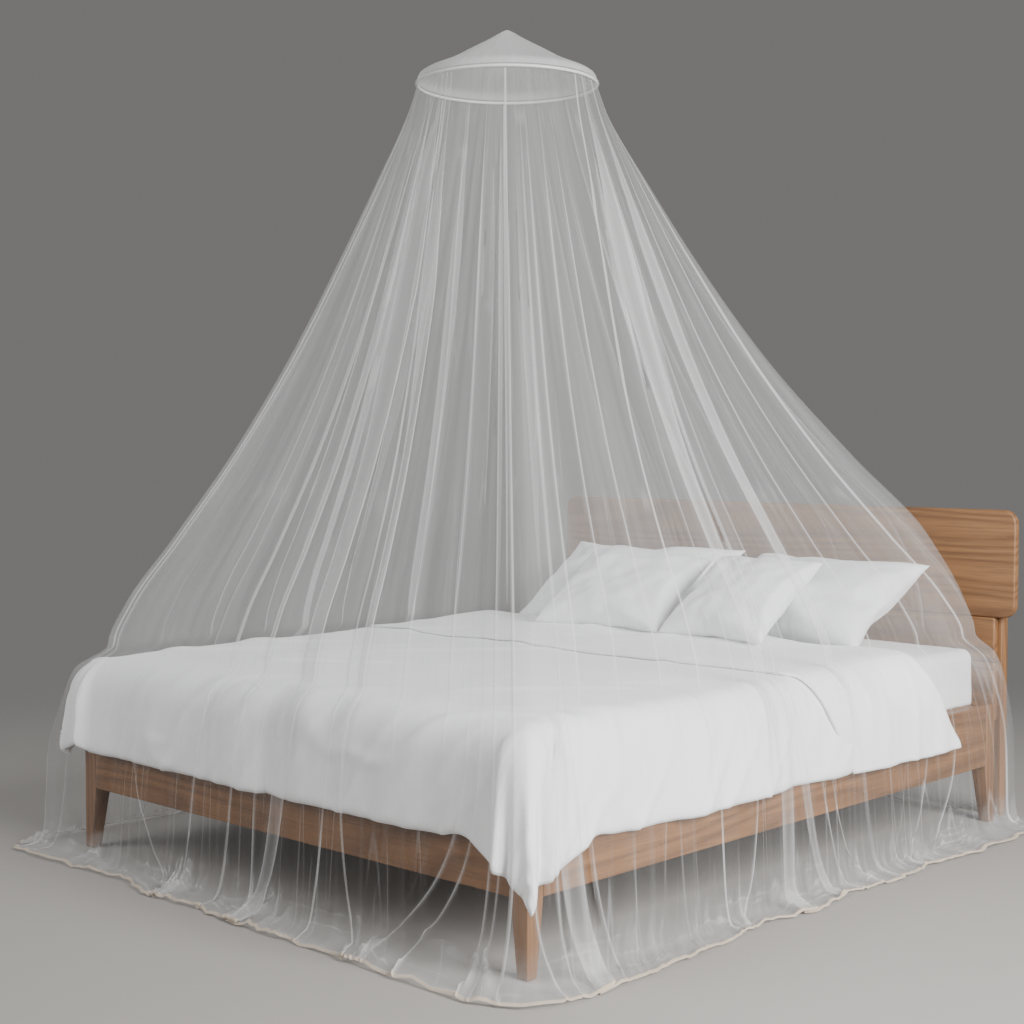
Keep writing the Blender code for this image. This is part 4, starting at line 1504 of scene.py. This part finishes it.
@dataclass
class Duvet:
    """A filled duvet over the mattress, turned back at the head.

    Its edges are those of the mattress that it falls from, foot_share of the cloth
    falls at the foot, and skew is how far the turned part runs aslant on the sides.
    At the near corner of the foot the cloth falls further by flap, within flap_reach,
    and hangs in a point. The notch beside it is a little shorter. At the far corner
    far_gathered of the cloth is drawn in. The heights are those of its wrinkles, on
    top and where it falls.
    """

    finishes: Finishes
    far_edge: float = 0.788
    near_edge: float = 0.8105
    half_length: float = 0.988
    top: float = 0.5350
    drop: float = 0.330
    foot_share: float = 0.945
    turn_place: float = 0.530
    turn_radius: float = 0.015
    turned_length: float = 0.540
    turned_sink: float = 0.0110
    thickness: float = 0.0125
    rim_share: float = 0.42
    rim_width: float = 0.022
    corner: float = 0.26
    far_gathered: float = 0.26
    flap: float = 0.16
    flap_reach: float = 0.115
    foot_steepness: float = 1.3
    notch: float = 0.045
    notch_place: float = 0.155
    notch_width: float = 0.05
    skew: float = 0.215
    broad_height: float = 0.0050
    ridge_height: float = 0.0075
    fold_depth: float = 0.022
    pleat_depth: float = 0.010
    fan_depth: float = 0.020
    hem_wave: float = 0.008
    fall: tuple[FallStep, ...] = (
        FallStep(0.000, 0.000, 0.0000, 0.000), FallStep(0.035, 0.033, 0.0210, 0.006),
        FallStep(0.070, 0.060, 0.0400, 0.026), FallStep(0.120, 0.080, 0.0570, 0.070),
        FallStep(0.190, 0.086, 0.0640, 0.139), FallStep(0.330, 0.087, 0.0655, 0.262),
        FallStep(0.470, 0.089, 0.0665, 0.372),
    )
    columns: int = 170
    rows: int = 210

    def fallen(self, over: np.ndarray, near: np.ndarray) -> tuple[np.ndarray, np.ndarray]:
        """Where the cloth is after a length past the edge.

        Args:
            over: The lengths.
            near: 1 on the near side, 0 on the others and between them at a corner.

        Returns:
            How far out and how far down it is.
        """
        length, out, near_out, down = np.array(self.fall).T
        over = np.clip(over, 0, length[-1])
        mixed = smooth_curve(length, out, over) * (1 - near) + smooth_curve(length, near_out, over) * near
        return mixed, smooth_curve(length, down, over)

    def past_edges(self, across: np.ndarray, along: np.ndarray) -> tuple[np.ndarray, np.ndarray]:
        """How far places of the flat duvet are past its side and foot edges."""
        edge = np.where(across > 0, self.near_edge, self.far_edge)
        past_foot = np.maximum(-along - self.half_length, 0)
        return np.maximum(np.abs(across) - edge, 0), self.foot_share * past_foot

    def flapped(self, across: np.ndarray, along: np.ndarray, at_corner: np.ndarray) -> np.ndarray:
        """The share by which the cloth falls further near the flap.

        Args:
            across: Distances from the bed's middle line, in metres of cloth.
            along: Distances towards the head.
            at_corner: 1 on a corner's bisector, 0 on the sides.

        Returns:
            The shares.
        """
        past_side = np.maximum(self.near_edge - across, 0) * self.foot_steepness
        beside = past_side + np.maximum(along + self.half_length, 0)
        point = np.clip(1 - beside / self.flap_reach, 0, 1) * (1 - 0.7 * at_corner**8)
        notch = np.exp(-(((beside - self.notch_place) / self.notch_width) ** 2))
        return self.flap * point - self.notch * notch

    def place(self, across: np.ndarray, along: np.ndarray, lift: np.ndarray) -> np.ndarray:
        """Lay points of the flat duvet on the bed.

        Args:
            across: Their distance from the bed's middle line, in metres of cloth.
            along: Their distance towards the head.
            lift: How far they are above what the duvet lies on.

        Returns:
            The points.
        """
        over_x, over_y = self.past_edges(across, along)
        over = np.hypot(over_x, over_y)
        safe = np.maximum(over, 1e-9)
        away_x, away_y = np.sign(across) * over_x / safe, -over_y / safe
        at_corner = 2 * over_x * over_y / safe**2
        over = over * np.where(across < 0, 1 - self.far_gathered * at_corner, 1.0)
        over = over * (1 + self.flapped(across, along, at_corner) * ramp(over, 0.0, 0.2))
        near, step = np.where(across > 0, away_x**2, 0.0), 0.01
        out, down = self.fallen(over, near)
        out_before, down_before = self.fallen(over - step, near)
        out_after, down_after = self.fallen(over + step, near)
        run, fall = out_after - out_before, down_after - down_before
        lean = np.hypot(fall, run)
        lean_out, lean_up = np.where(over > 0, fall / lean, 0.0), np.where(over > 0, run / lean, 1.0)
        out = out * (1 + self.corner * at_corner) + lift * lean_out
        return rows_of(
            np.clip(across, -self.far_edge, self.near_edge) + away_x * out,
            np.maximum(along, -self.half_length) + away_y * out,
            self.top + lift * lean_up - down,
        )

    def wrinkles(self, across: np.ndarray, along: np.ndarray) -> np.ndarray:
        """Heights of the soft ridges and hollows.

        Args:
            across: Places of the flat duvet, from the bed's middle line.
            along: The same, towards the head.

        Returns:
            The heights.
        """
        level, turn_cos, turn_sin = 0.43, 0.82, 0.57
        spots = rows_of(across, along, level)
        turned = rows_of(
            turn_cos * across + turn_sin * along, -turn_sin * across + turn_cos * along, level
        )
        broad = noise_at(spots * (3.0, 1.7, 1.0), seed=2.0, octaves=2)
        bent = turned + 0.12 * broad[:, None] * (1.0, 1.0, 0.0)
        ridges = 1 - np.abs(noise_at(bent * (1.1, 3.9, 1.0), seed=7.0, octaves=2)) * 3.0
        over_x, over_y = self.past_edges(across, along)
        over, side = np.hypot(over_x, over_y), np.where(over_x > over_y, along, across)
        share, which = np.clip(over / self.drop, 0, 1), np.sign(across)
        folds = noise_at(rows_of(side * 5.2, which, over * 1.2), seed=20.0, octaves=2)
        pleats = 1 - np.abs(noise_at(rows_of(side * 8.0 + over * 5, which, over), seed=27.0)) * 3
        turn = np.arctan2(over_y, over_x)
        corner = np.clip(4 * over_x * over_y / np.maximum(over, 1e-6) ** 2, 0, 1)
        fan = np.sin(turn * 9.0 + 0.9) + 0.5 * np.sin(turn * 17.0 + 2.1)
        on_top = self.broad_height * (broad + 0.9)
        on_top = on_top + self.ridge_height * eased(ridges) ** 2 * eased(broad + 0.6)
        fall = self.fold_depth * (folds + 0.22) + self.pleat_depth * eased(pleats) ** 2
        fall = fall + self.fan_depth * corner * (fan + 0.35)
        return on_top * (1 - 0.45 * share) + share * fall

    def surface(self, share_u: np.ndarray, share_v: np.ndarray, upper: bool) -> np.ndarray:
        """Points of the duvet's upper or under side.

        Args:
            share_u: Shares of the way across the cloth.
            share_v: Shares of the way from its foot hem to its other end.
            upper: Which side is meant.

        Returns:
            The points.
        """
        half_width = (self.far_edge + self.near_edge) / 2 + self.drop
        ahead = self.drop + self.half_length + self.turn_place
        arc = math.pi * self.turn_radius
        length = ahead + arc + self.turned_length
        across = (2 * share_u - 1) * half_width + (self.near_edge - self.far_edge) / 2
        way = share_v * length
        turn = np.clip((way - ahead) / self.turn_radius, 0.0, math.pi)
        beyond = np.maximum(way - ahead - arc, 0.0)
        base = np.minimum(way, ahead) - self.drop - self.half_length
        along = base + self.turn_radius * np.sin(turn) - beyond
        past = self.past_edges(across, along)[0] / self.drop
        sunk = self.turned_sink * ramp(beyond, 0.08, 0.32) * (1 - 0.6 * ramp(past, 0.0, 0.5))
        lift = self.turn_radius * (1 - np.cos(turn)) - sunk
        rim = np.minimum.reduce(
            (2 * half_width * share_u, 2 * half_width * (1 - share_u), way, length - way)
        )
        full = self.rim_share + (1 - self.rim_share) * np.clip(rim / self.rim_width, 0, 1) ** 0.5
        thick = self.thickness * full if upper else 0.0
        aslant = np.where(way > ahead, 1.0, ramp(along, self.turn_place - 0.30, self.turn_place))
        waves = noise_at(rows_of(share_u * 9, share_v * 11, 0.0), seed=31.0, octaves=2)
        edge = np.exp(-rim / 0.05)
        across = across * (1 + self.hem_wave / 2 * waves * edge)
        rise = self.wrinkles(across, along) + np.where(turn > 1.5, 0.003 * (1 + waves), 0.0)
        along = along - thick * np.sin(turn) + aslant * self.skew * past
        points = self.place(across, along, lift + thick * np.cos(turn) + rise)
        points[:, 1] += self.hem_wave * waves * edge
        return points

    def build(self) -> bpy.types.Object:
        """Two surfaces joined round their edges, thin at the seam and full inside.

        Returns:
            The piece.
        """
        made = bmesh.new()
        for upper in (False, True):
            cloth, places = grid_mesh(self.columns, self.rows)
            u, v = (places / (self.columns - 1, self.rows - 1)).T
            move_points(cloth, self.surface(u - 0.035 * np.sin(2 * math.pi * u), v, upper))
            add_side(made, cloth, turned=not upper)
        bmesh.ops.bridge_loops(made, edges=[edge for edge in made.edges if edge.is_boundary])
        piece = finish_piece(made, "duvet_cover", self.finishes.duvet, "duvet")
        return piece


@dataclass
class Mattress:
    """The mattress in its fitted sheet, which is drawn under at the corners."""

    finishes: Finishes
    width: float = 1.60
    length: float = 2.00
    bottom: float = 0.3613
    top: float = 0.533
    rounding: float = 0.035
    shift: tuple[float, float] = (0.020, 0.020)
    slack_depth: float = 0.0022
    low_pull: float = 0.0035
    corner_pull: float = 0.004
    clearance: float = 0.002

    def block(self) -> bmesh.types.BMesh:
        """A block with rounded upper edges, finely divided.

        Returns:
            The block.
        """
        made = bmesh.new()
        bmesh.ops.create_cube(made, size=1.0)
        bmesh.ops.scale(made, vec=(self.width, self.length, self.top - self.bottom), verts=made.verts)
        bmesh.ops.translate(made, vec=(0, 0, (self.top + self.bottom) / 2), verts=made.verts)
        upper = [e for e in made.edges if max(v.co.z for v in e.verts) > self.bottom + 0.01]
        bmesh.ops.bevel(
            made, geom=upper, offset=self.rounding, segments=5, profile=0.5, affect="EDGES",
            material=-1,
        )
        long_edges = [e for e in made.edges if e.calc_length() > 0.5]
        bmesh.ops.subdivide_edges(made, edges=long_edges, cuts=70, use_grid_fill=True)
        tall_edges = [e for e in made.edges if abs(e.verts[0].co.z - e.verts[1].co.z) > 0.1]
        bmesh.ops.subdivide_edges(made, edges=tall_edges, cuts=14, use_grid_fill=True)
        made.normal_update()
        return made

    def build(self) -> bpy.types.Object:
        """The block with the sheet's small pulls, moved to its place.

        Returns:
            The piece.
        """
        made = self.block()
        spots = points_of(made)
        outward = np.array([v.normal for v in made.verts])
        low = 1 - ramp(spots[:, 2], self.bottom, self.bottom + 0.10)
        from_corner = np.hypot(
            np.abs(spots[:, 0]) - self.width / 2, np.abs(spots[:, 1]) - self.length / 2
        )
        pull = self.low_pull * low + self.corner_pull * np.exp(-from_corner / 0.16)
        depth = pull * noise_at(spots * (22, 22, 3.5), seed=5.0, octaves=2)
        depth += self.slack_depth * noise_at(spots * (3.0, 3.0, 7.0), seed=15.0, octaves=2)
        move_points(made, spots + outward * (depth - self.clearance)[:, None])
        bmesh.ops.translate(made, vec=(*self.shift, 0.0), verts=made.verts)
        for vertex in made.verts:
            vertex.co.z = max(vertex.co.z, self.bottom)
        piece = finish_piece(made, "mattress_cover", self.finishes.sheet, "mattress")
        return piece


class PillowPlace(NamedTuple):
    """A pillow: the node it stands for, its middle, its size, where its front edge is
    and the height that it stands on. It leans back by slope and is turned by turn, in
    degrees."""

    node: str
    x: float
    width: float
    height: float
    thickness: float
    front: float
    stands_on: float
    slope: float
    turn: float


@dataclass
class Pillows:
    """Filled pillows that lean on the headboard's slope and on each other.

    Each starts as a flat case of two cloths and is filled by pressure, so its sides
    draw in and pucker along the seam. softness is how much of that shows, beside an
    even puffed form.
    """

    finishes: Finishes
    cells: tuple[int, int] = (52, 38)
    frames: int = 22
    pressure: float = 1.6
    stiffness: float = 25.0
    bending: float = 0.15
    softness: float = 0.5
    flat_share: float = 0.25
    drawn_in: float = 0.05
    places: tuple[PillowPlace, ...] = (
        PillowPlace("pillow_back_far", -0.325, 0.740, 0.450, 0.155, 0.545, 0.5333, 36.0, 0.0),
        PillowPlace("pillow_back_near", 0.380, 0.660, 0.450, 0.170, 0.535, 0.5333, 31.0, -4.0),
        PillowPlace("pillow_front_far", -0.170, 0.500, 0.380, 0.125, 0.350, 0.5640, 34.0, 3.0),
        PillowPlace("pillow_front_near", 0.300, 0.400, 0.380, 0.125, 0.350, 0.5640, 36.0, -3.0),
    )

    def even_case(self, place: PillowPlace, seed: float) -> bmesh.types.BMesh:
        """Two cloths joined round their edges and evenly puffed.

        Args:
            place: The pillow.
            seed: Moves its unevenness.

        Returns:
            The case.
        """
        made = bmesh.new()
        for face in (1, -1):
            cloth, places = grid_mesh(self.cells[0] + 1, self.cells[1] + 1)
            u, v = (2 * places / self.cells - 1).T
            crown = np.maximum((1 - u**4) * (1 - v**4), 0.0) ** 0.62
            uneven = noise_at(rows_of(u * 2, v * 2, face), seed, octaves=2)
            move_points(cloth, rows_of(
                u * place.width / 2 * (1 - self.drawn_in * (1 - v * v)),
                v * place.height / 2 * (1 - self.drawn_in * (1 - u * u)),
                face * place.thickness / 2 * crown * (1 + 0.4 * uneven),
            ))
            add_side(made, cloth, turned=face < 0)
        bmesh.ops.remove_doubles(made, verts=made.verts, dist=1e-5)
        return made

    def filled(self, made: bmesh.types.BMesh, name: str) -> np.ndarray:
        """Fill a case by pressure and return where its points end.

        Args:
            made: The case, which is kept.
            name: Name of the passing object.

        Returns:
            The points.
        """
        mesh = bpy.data.meshes.new(name)
        made.to_mesh(mesh)
        case = add_object(name, mesh)
        cloth = case.modifiers.new("filling", "CLOTH")
        settings = cloth.settings
        settings.quality = 5
        settings.use_pressure = True
        settings.uniform_pressure_force = self.pressure
        settings.effector_weights.gravity = 0.0
        settings.tension_stiffness = settings.compression_stiffness = self.stiffness
        settings.bending_stiffness = self.bending
        cloth.collision_settings.use_collision = False
        cloth.point_cache.frame_end = self.frames
        for number in range(1, self.frames + 1):
            bpy.context.scene.frame_set(number)
        held = case.evaluated_get(bpy.context.evaluated_depsgraph_get()).to_mesh()
        points = np.empty(len(held.vertices) * 3)
        held.vertices.foreach_get("co", points)
        bpy.context.scene.frame_set(1)
        bpy.data.objects.remove(case)
        bpy.data.meshes.remove(mesh)
        return points.reshape(-1, 3)

    def pillow(self, number: int, place: PillowPlace) -> bpy.types.Object:
        """Build one pillow in its place.

        Args:
            number: The pillow, from 0.
            place: Its size and place.

        Returns:
            The piece.
        """
        made = self.even_case(place, seed=4.0 + 3.7 * number)
        even = points_of(made)
        move_points(made, even * (1, 1, self.flat_share))
        points = self.filled(made, f"case_{number}")
        middle, size = (points.max(0) + points.min(0)) / 2, points.max(0) - points.min(0)
        drawn = (points - middle) * (place.width, place.height, place.thickness) / size
        move_points(made, even + (drawn - even) * self.softness)
        bmesh.ops.subdivide_edges(made, edges=made.edges, cuts=1, use_grid_fill=True, smooth=0.0)
        bmesh.ops.smooth_vert(
            made, verts=made.verts, factor=0.5, use_axis_x=True, use_axis_y=True, use_axis_z=True
        )
        for degrees, axis in ((place.slope, "X"), (place.turn, "Z")):
            turn = Matrix.Rotation(math.radians(degrees), 3, axis)
            bmesh.ops.rotate(made, matrix=turn, verts=made.verts)
        _, low_y, low_z = points_of(made).min(0)
        lifted = (place.x, place.front - low_y, place.stands_on - low_z)
        bmesh.ops.translate(made, vec=lifted, verts=made.verts)
        name = place.node.replace("pillow", "pillow_case")
        piece = finish_piece(made, name, self.finishes.pillow, place.node)
        return piece

    def build(self) -> None:
        """Build the four pillows."""
        for number, place in enumerate(self.places):
            self.pillow(number, place)


# ------------------------------------------------------------------ the wooden parts


@dataclass
class Woodwork:
    """The bed's frame and its headboard: their boards with softened edges.

    Edges that turn by more than sharp_turn are rounded, and those that still turn by
    more than shaded_turn stay sharp in the light.
    """

    finishes: Finishes
    frame_rounding: float = 0.003
    headboard_rounding: float = 0.006
    sharp_turn: float = math.radians(40)
    shaded_turn: float = math.radians(35)
    boards: tuple[tuple[str, Grain], ...] = (
        ("rail_near", Grain.ALONG), ("rail_far", Grain.ALONG),
        ("rail_foot", Grain.ACROSS), ("rail_head", Grain.ACROSS),
        ("leg_near_foot", Grain.UP), ("leg_near_head", Grain.UP),
        ("leg_far_foot", Grain.UP), ("leg_far_head", Grain.UP),
        ("slatted_base", Grain.ACROSS),
        ("headboard_upper", Grain.ACROSS), ("headboard_middle", Grain.ACROSS),
        ("headboard_lower", Grain.ACROSS),
        ("headboard_post_near", Grain.UP), ("headboard_post_far", Grain.UP),
    )

    def rounded_copy(self, node: str, rounding: float) -> bmesh.types.BMesh:
        """A packed board with its long edges rounded.

        Args:
            node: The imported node.
            rounding: How wide the rounding is.

        Returns:
            The board, in the bed's floor frame.
        """
        made = bmesh.new()
        made.from_mesh(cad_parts[node].data)
        bmesh.ops.translate(made, vec=-FLOOR_ORIGIN, verts=made.verts)
        bmesh.ops.remove_doubles(made, verts=made.verts, dist=2e-5)
        bmesh.ops.dissolve_limit(
            made, angle_limit=math.radians(2), verts=made.verts, edges=made.edges,
            use_dissolve_boundaries=False,
        )
        sharp = [
            edge for edge in made.edges
            if len(edge.link_faces) == 2 and edge.calc_face_angle() > self.sharp_turn
        ]
        bmesh.ops.bevel(
            made, geom=sharp, offset=rounding, segments=3, profile=0.5, affect="EDGES",
            material=-1, clamp_overlap=True,
        )
        return made

    def build(self) -> None:
        """Build every board, neighbours from different cuts of oak."""
        for number, (node, grain) in enumerate(self.boards):
            in_headboard, cuts = node.startswith("headboard"), self.finishes.oak[grain]
            made = self.rounded_copy(node, self.headboard_rounding if in_headboard else self.frame_rounding)
            piece = finish_piece(made, f"{node}_board", cuts[number % len(cuts)], node)
            piece.data.set_sharp_from_angle(angle=self.shaded_turn)


# ------------------------------------------------------------------ studio


class Lamp(NamedTuple):
    """A square lamp: its place, its turn in degrees, its width and its watts."""

    name: str
    place: Triple
    turn: Triple
    width: float
    power: float


@dataclass
class Studio:
    """Floor, light and the camera at the photograph's angle, in the model's frame."""

    floor_radius: float = 4.2
    floor_clear: float = 1.9
    floor_colour: Colour = (0.335, 0.315, 0.295)
    wall_colour: Colour = (0.178, 0.174, 0.170)
    room_light: Colour = (0.97, 0.98, 1.0)
    room_strength: float = 0.25
    lamps: tuple[Lamp, ...] = (
        Lamp("key", (4.8, -0.6, 0.1), (69.0, 0.0, 84.0), 2.6, 550.0),
        Lamp("front", (-2.2, -5.0, 1.4), (60.0, 0.0, -22.0), 3.6, 180.0),
        Lamp("top", (0.0, 0.2, 2.6), (0.0, 0.0, 0.0), 3.0, 10.0),
    )
    camera_place: Triple = (3.4131, -3.5669, -1.1994)
    camera_turn: Triple = (87.47, 0.0, 43.57)
    lens: float = 58.38
    sensor: float = 36.0

    def add_floor(self) -> None:
        """A pale floor that fades out into the studio's grey."""
        made = bmesh.new()
        bmesh.ops.create_circle(made, cap_ends=True, segments=96, radius=self.floor_radius)
        bmesh.ops.translate(made, vec=FLOOR_ORIGIN, verts=made.verts)
        mesh = bpy.data.meshes.new("studio_floor")
        made.to_mesh(mesh)
        made.free()
        material, tree, shader = new_material("pale_floor")
        centred = add_node(
            tree, "VectorMath", {0: object_place(tree), 1: FLOOR_ORIGIN}, operation="SUBTRACT"
        )
        far = add_node(tree, "VectorMath", {0: centred.outputs[0]}, operation="LENGTH").outputs["Value"]
        faded = (self.floor_clear, self.floor_radius - 0.1)
        feed(tree, shader, {
            "Base Color": opaque(self.floor_colour),
            "Alpha": ranged(tree, far, faded, (1.0, 0.0), "SMOOTHSTEP"),
            "Roughness": 0.6,
        })
        mesh.materials.append(material)
        add_object("studio_floor", mesh)

    def add_light(self) -> None:
        """A window-like key from the near side, a soft fill and an even room."""
        for lamp in self.lamps:
            light = bpy.data.lights.new(lamp.name, "AREA")
            light.size, light.energy = lamp.width, lamp.power
            self.stand(add_object(lamp.name, light), lamp.place, lamp.turn)
        world = bpy.data.worlds.new("studio")
        world.use_nodes = True
        tree = world.node_tree
        tree.nodes.clear()
        seen = add_node(tree, "Background", {0: opaque(self.wall_colour), 1: 1.0})
        room = add_node(tree, "Background", {0: opaque(self.room_light), 1: self.room_strength})
        ray = add_node(tree, "LightPath").outputs["Is Camera Ray"]
        mixed = add_node(tree, "MixShader", {0: ray, 1: room.outputs[0], 2: seen.outputs[0]})
        add_node(tree, "OutputWorld", {0: mixed.outputs[0]})
        bpy.context.scene.world = world

    def add_camera(self) -> None:
        """The camera that took the photograph, worked out from the bed's corners."""
        camera = bpy.data.cameras.new("camera")
        camera.lens, camera.sensor_width = self.lens, self.sensor
        bpy.context.scene.camera = add_object("camera", camera)
        self.stand(bpy.context.scene.camera, self.camera_place, self.camera_turn)

    @staticmethod
    def stand(thing: bpy.types.Object, place: Triple, turn: Triple) -> None:
        """Put a lamp or the camera in its place, turned by some degrees."""
        thing.location = place
        thing.rotation_euler = [math.radians(degrees) for degrees in turn]

    def build(self) -> None:
        """Build the studio."""
        self.add_floor()
        self.add_light()
        self.add_camera()
        bpy.context.scene.cycles.transparent_max_bounces = 32


def main() -> None:
    """Build the bed and its net in order and report each piece."""
    logging.basicConfig(level=logging.INFO, format="%(message)s")
    finishes = Finishes()
    Skirt(NetShape(), finishes).build()
    Rim(finishes).build()
    Woodwork(finishes).build()
    Mattress(finishes).build()
    Duvet(finishes).build()
    Pillows(finishes).build()
    Studio().build()


if __name__ == "__main__":
    main()
